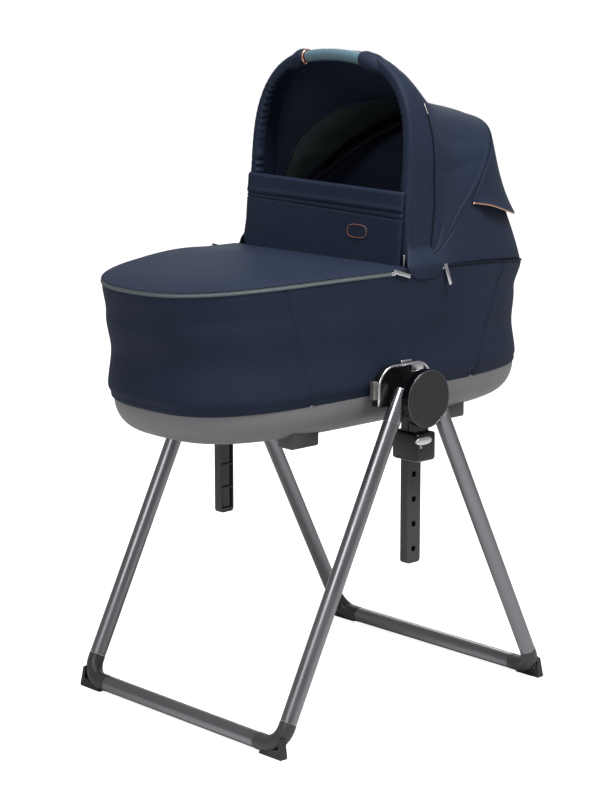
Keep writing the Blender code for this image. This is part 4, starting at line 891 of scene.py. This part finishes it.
def canopy_cloth(first, last, rows_count):
    rows = []
    for i in range(rows_count + 1):
        row = mix(first, last, i / rows_count)
        calm = sin(pi * (row % 1))  # the sewn edges don't wander
        line = []
        for k in range(CANOPY_COLUMNS + 1):
            share = k / CANOPY_COLUMNS
            point, out = canopy(share, row), canopy_out(share, row)
            lift = -0.0004
            edge = min(share, 1 - share)
            lift += 0.0010 * bump_at(row - 1, 0.035) * ease(edge / 0.05)
            lift -= 0.0010 * bump_at(row - 1.055, 0.014) + 0.0010 * bump_at(row - 0.945, 0.014)
            lift += 0.0022 * calm * noise.noise(Vector((point.x * 7, point.y * 7, point.z * 7)))
            lift -= 0.0024 * bump_at(row - 1.07 - 0.6 * edge, 0.035) * bump_at(edge - 0.02, 0.030)
            lift -= 0.0020 * bump_at(row - 0.55 + 2.2 * (edge - 0.04), 0.10) * bump_at(edge - 0.04, 0.03)
            line.append(tuple(point + out * lift))
        rows.append(line)
    return rows


def bisect(angle, width):
    """Two points a width either side of the hinge, square to the fan's ray at this angle."""
    out = Vector((0, -sin(angle), cos(angle))) * width
    centre = Vector((0, HINGE_Y + HUB.y, HINGE_Z))
    return centre - out, centre + out


def mesh_edge(share):
    return MESH_TOP - MESH_SPREAD * abs(share - 0.5)


def mesh_zone(i, j):
    """Between the two bows the canopy is lined with air mesh instead of satin."""
    return mesh_edge((j + 0.5) / CANOPY_COLUMNS) < (i + 0.5) / UPPER_ROWS < CHANNEL_ROW


upper_grid, lower_grid = canopy_cloth(0.0, 1.0, UPPER_ROWS), canopy_cloth(1.0, 2.0, LOWER_ROWS)
upper = sheet_piece(
    "canopy_upper_panel", upper_grid, NAVY, wall=CANOPY_WALL, liner=LINER, flip=True, patch=(MESH_LINER, mesh_zone)
)
start, end = bisect(radians(60), 0.08)
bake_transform(upper)
lower = sheet_piece("canopy_lower_panel", lower_grid, NAVY, wall=CANOPY_WALL, liner=LINER, flip=True)
start, end = bisect(radians(16), 0.08)  # nothing uses these two points, nor the pair above
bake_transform(lower)
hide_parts("hood_canopy")
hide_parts("hood_canopy")

# %% [markdown]
# The seam behind the band is piped, and the rear bow runs in a sewn sleeve under the crest. A second sleeve
# inside shows through the mouth.

# %% Seam piping and bow sleeve
TAB = (0.277, 0.298)  # where a short reflective tab is sewn into the seam
SEAM_OUT = 0.0002
BOW_HEIGHT, BOW_INSET = 0.3345, 0.0212


def seam_place(share):
    nx, nz = arch_out(mix(*SEAM_SPAN, share))
    return off_hinge(*seam_curve(share, -0.0004)) + SEAM_OUT * Vector((nx, 0, nz))


for label, origin, way in (("near", 0, 1), ("far", 1, -1)):
    for piece, low, high, size, finish, slot in (
        ("seam_piping", 0.0, TAB[0], 0.0008, EDGE_TAPE, "navy_fabric"),
        ("reflective_tab", TAB[0], TAB[1], 0.0011, CATCH_GREY, "silver"),
    ):
        line = run_along(60, lambda step: seam_place(origin + way * mix(low, high, step)))
        cord(f"{piece}_{label}", line, size, finish, "hood_front", slot)


def bow_place(step):
    """A point of the rear bow, which stands under the crest."""
    x, high = squircle(pi * step, CREST_POWER)
    return off_hinge((CREST_HALF - BOW_INSET) * x, BOW_HEIGHT * high, CREST_ANGLE)


cord("rear_bow_sleeve", run_along(80, bow_place), 0.0048, EDGE_TAPE, "hood_rear_bow", "dark_lining", "rear_bow",
     sides=14)


def inner_sleeve(name, row_at, radius, finish, body):
    """A sewn channel on the inner face of the canopy."""
    line = []
    for share in run_along(96, lambda step: mix(0.15, 0.85, step)):
        row = row_at(share)
        line.append(canopy(share, row) - canopy_out(share, row) * (0.0030 + radius * 0.7))
    cord(name, line, radius, finish, body, "dark_lining", sides=12, flatten=0.6)


inner_sleeve("lining_edge_binding", mesh_edge, 0.0018, LINER, "hood_front")
inner_sleeve("inner_bow_channel", lambda share: CHANNEL_ROW, 0.0052, EDGE_TAPE, "hood_rear_bow")

# %% [markdown]
# The vent flap hangs from the crest and stands off at its lower edge, which is bound with a rose-gold cord.

# %% Vent flap
VENT_EDGE, VENT_ROW, VENT_CURVE, VENT_REACH = 0.103, 1.72, 0.62, 0.085


def vent_point(share, down, lift):
    near = min(share, 1 - share) - VENT_EDGE
    first = 1.006 + 0.10 * exp(-near / 0.03)
    last = max(VENT_ROW - VENT_CURVE * exp(-near / VENT_REACH), first + 0.012)
    row = mix(first, last, down)
    rise = 0.0004 + 0.0100 * ease(near / 0.04) * down**2.5
    rise += 0.0012 * down * noise.noise(Vector((share * 9, down * 2, 0)))
    return tuple(canopy(share, row) + canopy_out(share, row) * (rise + lift))


def vent_line(down, lift, steps):
    return run_along(steps, lambda step: vent_point(mix(VENT_EDGE, 1 - VENT_EDGE, step), down, lift))


vent_rows = run_along(22, lambda down: vent_line(down, 0.0028, 120))
vent = sheet_piece("vent_flap_cloth", vent_rows, NAVY, wall=0.0020, liner=EDGE_TAPE, flip=True)
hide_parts("vent_flap")
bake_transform(vent)
cord_edge = tube_piece("vent_flap_piping", vent_line(1.0, 0.0018, 160), 0.0015, ROSE)
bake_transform(cord_edge)

# %% [markdown]
# The wind flap closes the lower part of the mouth. It has a turned-down band at its top, two creases below it,
# and a small blank woven patch.

# %% Wind flap
FLAP_HALF, FLAP_FOOT, FLAP_TOP = 0.189, RIM - 0.0005, RIM + 0.1252
FLAP_FOLD = FLAP_TOP - 0.038
FLAP_SLANT, FOLD_SLANT, FOLD_GAP = 0.016, 0.014, 0.006  # the top edge and the folds sink towards the near side
FLAP_AHEAD = 0.0058  # the flap stands this far in front of the mouth
PATCH_X, PATCH_Z, PATCH_HALF, PATCH_HIGH = 0.0894, RIM + 0.048, 0.0242, 0.0117


def flap_front(x, z):
    edge = 1 - abs(x) / FLAP_HALF
    puff = 0.0012 * ease(edge / 0.06)
    puff += 0.0010 * noise.noise(Vector((x * 8, z * 10, 2.0))) * ease(edge / 0.1)
    fold = z - FLAP_FOLD + FOLD_SLANT * x
    puff -= 0.0022 * bump_at(fold, 0.0012) + 0.0018 * bump_at(fold + FOLD_GAP + 0.010 * (x + FLAP_HALF), 0.0012)
    puff += 0.0012 * bump_at(fold - 0.006, 0.004)
    puff -= 0.0030 * bump_at(z - FLAP_TOP + FLAP_SLANT * (x + FLAP_HALF), 0.0025)
    return MOUTH_Y + MOUTH_LEAN * (z - HINGE_Z) - FLAP_AHEAD - puff


def flap_place(x, up):
    z = mix(FLAP_FOOT, FLAP_TOP - FLAP_SLANT * (x + FLAP_HALF), up)
    return x, flap_front(x, z), z


flap_rows = run_along(110, lambda up: [flap_place(x, up) for x in np.linspace(-FLAP_HALF, FLAP_HALF, 101)])
flap = sheet_piece("wind_flap_cloth", flap_rows, NAVY, wall=0.0042, liner=LINER)
wear(flap, "wind_flap", "navy_fabric", "wind_flap")


def patch_outline(wide, high, out):
    """A line round the patch at these shares of its size, in front of the flap by a distance."""
    points = turn_round(64, lambda angle: (
        PATCH_X + PATCH_HALF * wide * power_wave(cos(angle), 3.6),
        PATCH_Z + PATCH_HIGH * high * power_wave(sin(angle), 2.4),
    ))
    return [(x, flap_front(x, z) - out, z) for x, z in points]


patch_marks = ((0.02, 0.0009), (0.5, 0.0009), (0.86, 0.0009), (0.97, 0.0007), (1.0, 0.0001))
patch = sheet_piece("blank_patch", [patch_outline(size, size, out) for size, out in patch_marks], NAVY, closed=True)
wear(patch, "wind_flap", "navy_fabric")
THREAD_COPPER = woven("copper_sewing_thread", "#6b453a", "#8d5f4f", rough=0.45, sheen=0.2, tint="#d0a090")
border = patch_outline(0.93, 0.90, 0.0010)
border = stitches("patch_border", border, THREAD_COPPER, pitch=0.0016, radius=0.0007, length=0.0016, closed=True)
wear(border, "wind_flap", "rose_gold")

# %% [markdown]
# The lower shell is one moulded tray. Its side is upright under the cloth's hem and rolls under in a large round
# edge, and its bottom is flat with two shallow ribs.

# %% Lower shell
SHELL_TOP, SHELL_DEPTH, SHELL_ROLL, SHELL_POWER = HEM + 0.0010, 0.0555, 0.044, 2.2
SHELL_BOTTOM = (  # inset from the wall, and how far the ribs stand in
    (0.050, 0.0), (0.058, 0.0), (0.061, 0.003), (0.085, 0.003), (0.088, 0.0), (0.130, 0.0), (0.199, 0.0),
)


def shell_row(depth, inset):
    return hem_ring(260, HALF - 0.017, FRONT - 0.033, REAR - 0.031, inset, SHELL_TOP - depth)


roll = run_along(26, lambda step: squircle(pi / 2 * step, SHELL_POWER))
shell_rows = [shell_row(SHELL_DEPTH * down, SHELL_ROLL * (1 - out)) for out, down in roll]
shell_rows += [shell_row(SHELL_DEPTH - dip, inset) for inset, dip in SHELL_BOTTOM]
wear(sheet_piece("lower_shell", shell_rows, SHELL_GREY, wall=0.0028, closed=True), "carrycot", "grey_shell",
     "tub_shell")

# %% [markdown]
# Over each hinge a rounded cloth guard is sewn to the side. It covers the end of the hood's band, and its edge
# turns in to lie on the cloth under it.

# %% Hinge guards
GUARD_Y, GUARD_Z, GUARD_LONG, GUARD_HIGH = 0.0455, RIM + 0.0090, 0.0430, 0.0300


def band_face(z):
    near = min(max((z - BOTTOM) / (SPRING - BOTTOM), 0.0), 1.0)
    return ARCH_HALF + ARCH_FLARE * (1 - near) ** 2


def guard_point(share, angle, side):
    y = GUARD_Y + GUARD_LONG * share * power_wave(cos(angle), 2.6)
    z = GUARD_Z + GUARD_HIGH * share * power_wave(sin(angle), 2.2)
    low = 0.2208 + 0.0010 * (1 - share**6)
    cloth = side_face(y, min(z, rim_z(y) - 0.001))[0] + 0.0011
    low = mix(low, min(cloth, 0.2204), ease((y - 0.038) / 0.012))  # leaves the rear zip pull its swing
    x = mix(low, band_face(z) - 0.0012, ease((z - RIM + 0.004) / 0.034))
    front = MOUTH_Y + (0.0008 - 0.95 * (x - 0.2035) if side > 0 else 0.0110)  # the far one hides behind the flap
    rear = mix(GUARD_Y + GUARD_LONG, 0.0785, ease((z - RIM) / 0.016))
    above = ease((z - RIM + (0.0 if side > 0 else 0.010)) / 0.008)
    y = mix(y, min(max(y, front), rear), above)
    x -= 0.0022 * share**8 * ease((z - RIM) / 0.010)
    return side * x, y, z


GUARD_RINGS = (0.05, 0.2, 0.4, 0.55, 0.7, 0.8, 0.88, 0.94, 0.98, 1.0)
for label, side in SIDES:
    rows = [turn_round(96, lambda angle: guard_point(share, angle, side)) for share in GUARD_RINGS]
    guard = sheet_piece(f"hinge_guard_{label}", rows, NAVY, wall=0.0012, closed=True, flip=side < 0, capped=True)
    wear(guard, "carrycot", "navy_fabric")
    edge = run_along(60, lambda step: guard_point(1.0, -pi * (0.02 + 0.96 * step), side))
    edge = [(x + side * 0.0002, y, z) for x, y, z in edge]
    cord(f"guard_piping_{label}", edge, 0.0008, EDGE_TAPE, "carrycot", "navy_fabric")

# %% [markdown]
# Small hard parts: each zip has a slider under its pull, the side mount has a bright round trim with a satin
# catch at its front, the lock lever ends in an oval paddle, and a ratchet strip lies behind the post's windows.

# %% Small hard parts


def rounded_block(name, body, slot, finish, rounding, low, high):
    """A moulded block between two corners, with rounded edges."""
    bm = bmesh.new()
    bmesh.ops.create_cube(bm, size=1.0)
    low, high = Vector(low) + Vector(SHIFT), Vector(high) + Vector(SHIFT)
    for vertex in bm.verts:
        vertex.co = Vector(((low[k] + high[k]) / 2 + vertex.co[k] * abs(high[k] - low[k])) for k in range(3))
    bmesh.ops.recalc_face_normals(bm, faces=bm.faces)
    bmesh.ops.bevel(bm, geom=bm.edges[:], offset=rounding, segments=4, profile=0.5, affect="EDGES", clamp_overlap=True)
    mesh = bpy.data.meshes.new(name)
    bm.to_mesh(mesh)
    bm.free()
    mesh.uv_layers.new(name="cloth")
    mesh.materials.append(finish)
    mesh.shade_smooth()
    wear(put(name, mesh), body, slot)


SLAB_MARKS = ((0.02, 0.0), (0.9, 0.0), (1.0, 0.12), (1.0, 0.80), (0.95, 0.95), (0.80, 1.0), (0.4, 1.06), (0.02, 1.08))


def slab(name, x_low, x_high, centre_y, centre_z, half_y, half_z, power, body, *nodes):
    """A silver plate whose outline is a superellipse in the side view, crowned on its outer face."""
    rows = []
    for size, depth in SLAB_MARKS:
        ring = turn_round(56, lambda angle: squircle(angle, power))
        x = mix(x_low, x_high, depth)
        rows.append([(x, centre_y + half_y * size * y, centre_z + half_z * size * z) for y, z in ring])
    made = sheet_piece(name, rows, SILVER, closed=True)
    close_up(made)
    wear(made, body, "silver", *nodes)


PAD_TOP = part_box("release_pad_near")[1].z
BLOCKS = (  # name, body, slot, finish, rounding and two corners; the far side mirrors them
    ("mount_catch", "carrycot", "silver", CATCH_GREY, 0.0015,
     (0.2165, -0.0790, HUB.z + 0.001), (0.2275, -0.0690, HUB.z + 0.031)),
    ("collar_cover", "stand_hubs", "black_plastic", BLACK, 0.0040,
     (0.2104, -0.0212, 0.4390), (0.2696, 0.0212, 0.4851)),
    ("lever_stem", "lock_lever_{}", "silver", CATCH_GREY, 0.0015,
     (0.2600, -0.0175, HUB.z - 0.0810), (0.2712, -0.0110, HUB.z - 0.0700)),
    ("ratchet_strip", "post_{}", "black_plastic", BLACK, 0.0004,
     (0.2290, -0.0128, 0.268), (0.2305, 0.0128, 0.520)),
    ("release_pad_cap", "release_pad_{}", "silver", SILVER, 0.0008,
     (0.2318, 0.0005, PAD_TOP - 0.0180), (0.2350, 0.0262, PAD_TOP - 0.0050)),
)
MOUNT_Y, MOUNT_LONG, MOUNT_TOP, MOUNT_ROUND = -0.010, 0.059, HUB.z + 0.0515, 0.034
TRIM_ROUND = MOUNT_ROUND + 0.001
LIP_X, LIP_Z, LIP_HALF_X, LIP_HALF_Y, LIP_POWER = 0.2400, 0.4398, 0.0288, 0.0204, 8
RING_X, RING_RADIUS = 0.2727, 0.0462


def trim_corner(end, angle):
    """A point of the trim's round corner at the front end (-1) or the rear end (1) of the side mount."""
    y = MOUNT_Y + end * (MOUNT_LONG - MOUNT_ROUND) + TRIM_ROUND * cos(angle)
    return y, MOUNT_TOP - MOUNT_ROUND + TRIM_ROUND * sin(angle)


trim_line = [(-0.0700, HUB.z - 0.010), (-0.0700, HUB.z + 0.004)]
trim_line += run_along(16, lambda step: trim_corner(-1, pi - pi / 2 * step))
trim_line += run_along(16, lambda step: trim_corner(1, pi / 2 - pi / 2 * step))
trim_line.append((0.0500, HUB.z - 0.010))
for label, side in SIDES:
    trim = [(side * 0.2292, y, z) for y, z in trim_line]
    cord(f"mount_trim_bow_{label}", trim, 0.0023, SILVER, "carrycot", "silver", f"mount_trim_{label}", sides=16)
    for piece, body, slot, finish, rounding, low, high in BLOCKS:
        low, high = ((side * x, y, z) for x, y, z in (low, high))
        rounded_block(f"{piece}_{label}", body.format(label), slot, finish, rounding, low, high)
    slab(f"lever_paddle_{label}", side * 0.2695, side * 0.2742, -0.010, HUB.z - 0.0680, 0.0175, 0.0062, 2.6,
         f"lock_lever_{label}", f"lock_lever_{label}")
    for end, y in (("front", -0.0300), ("rear", 0.0885)):
        x, _, z = side_face(y, rim_z(y) - 0.0022)
        slab(f"zip_slider_{end}_{label}", side * x, side * (x + 0.0022), y, z, 0.0052, 0.0030, 3.0, "carrycot")
    lip = turn_round(72, lambda angle: squircle(angle, LIP_POWER))
    lip = [(side * (LIP_X + LIP_HALF_X * x), LIP_HALF_Y * y, LIP_Z) for x, y in lip]
    cord(f"collar_lip_{label}", lip, 0.0010, CATCH_GREY, "stand_hubs", "silver", sides=10, closed=True)
    ring = turn_round(96, lambda angle: (side * RING_X, RING_RADIUS * cos(angle), HUB.z + RING_RADIUS * sin(angle)))
    cord(f"hub_edge_ring_{label}", ring, 0.0005, TUBE, "stand_hubs", "silver", closed=True)
rounded_block("hood_zip_tag", "carrycot", "silver", SILVER, 0.0010,
              (0.2066, 0.0050, RIM - 0.0005), (0.2090, 0.0080, RIM + 0.0210))

# %% [markdown]
# The floor and the backdrop are pale, and four large soft lamps light the object as in a studio: a key lamp by the
# camera, one high over the near side, one overhead, and a weak one behind the head end for the light edges.

# %% Studio
floor_mesh = bpy.data.meshes.new("floor")
floor_mesh.from_pydata([(-9, -9, 0), (9, -9, 0), (9, 9, 0), (-9, 9, 0)], [], [(0, 1, 2, 3)])
floor = put("floor", floor_mesh)
pale, tree, shader = new_finish(
    "pale_floor", Base_Color=(0.6, 0.6, 0.6, 1), Roughness=0.9, Emission_Color=(1, 1, 1, 1)
)
floor_mesh.materials.append(pale)
rays = add(tree, "ShaderNodeLightPath")
tree.links.new(joined(tree, rays.outputs["Is Camera Ray"], 0.86), shader.inputs["Emission Strength"])

world = bpy.data.worlds.new("studio")
bpy.context.scene.world = world
world.use_nodes = True
sky = world.node_tree
sky.nodes.clear()
rays = add(sky, "ShaderNodeLightPath")
plain, white = (
    link_out(sky, "ShaderNodeBackground", (("Color", (1, 1, 1, 1)), ("Strength", power))) for power in (0.32, 1.0)
)
shown = joined(sky, rays.outputs["Is Camera Ray"], rays.outputs["Is Transmission Ray"], "MAXIMUM")
blend = link_out(sky, "ShaderNodeMixShader", ((0, shown), (1, plain), (2, white)))
add(sky, "ShaderNodeOutputWorld", (("Surface", blend),))


def lamp(name, place, aim, size, power):
    light = bpy.data.lights.new(name, "AREA")
    light.shape = "RECTANGLE"
    light.size, light.size_y = size
    light.energy = power
    point_at(put(name, light), place, Vector(aim) - Vector(place))


lamp("key_lamp", (0.8, -3.2, 2.6), (0, 0, 0.7), (1.4, 1.4), 42)
lamp("side_lamp", (1.6, -0.1, 3.5), (0, 0, 0.8), (1.3, 1.4), 135)
lamp("top_lamp", (0.2, -0.6, 3.4), (0, 0.0, 0.8), (1.8, 1.8), 35)
lamp("back_lamp", (-2.4, 2.8, 2.4), (0, 0, 0.8), (1.4, 1.4), 20)
bpy.context.scene.view_settings.view_transform = "Standard"

# %% [markdown]
# The cloth panels are sewn to shape and held taut, so they hang in the size they were cut. Below, each panel's
# grid is only turned into an array, and a closed one gets its first column again at its end.


def declare(grid, closed=False):
    grid = np.array(grid, float)
    if closed:
        grid = np.concatenate((grid, grid[:, :1]), axis=1)


declare(side_rows, closed=True)
declare(lining_grid(), closed=True)
declare(upper_grid)
declare(lower_grid)
declare(vent_rows)
declare(flap_rows)
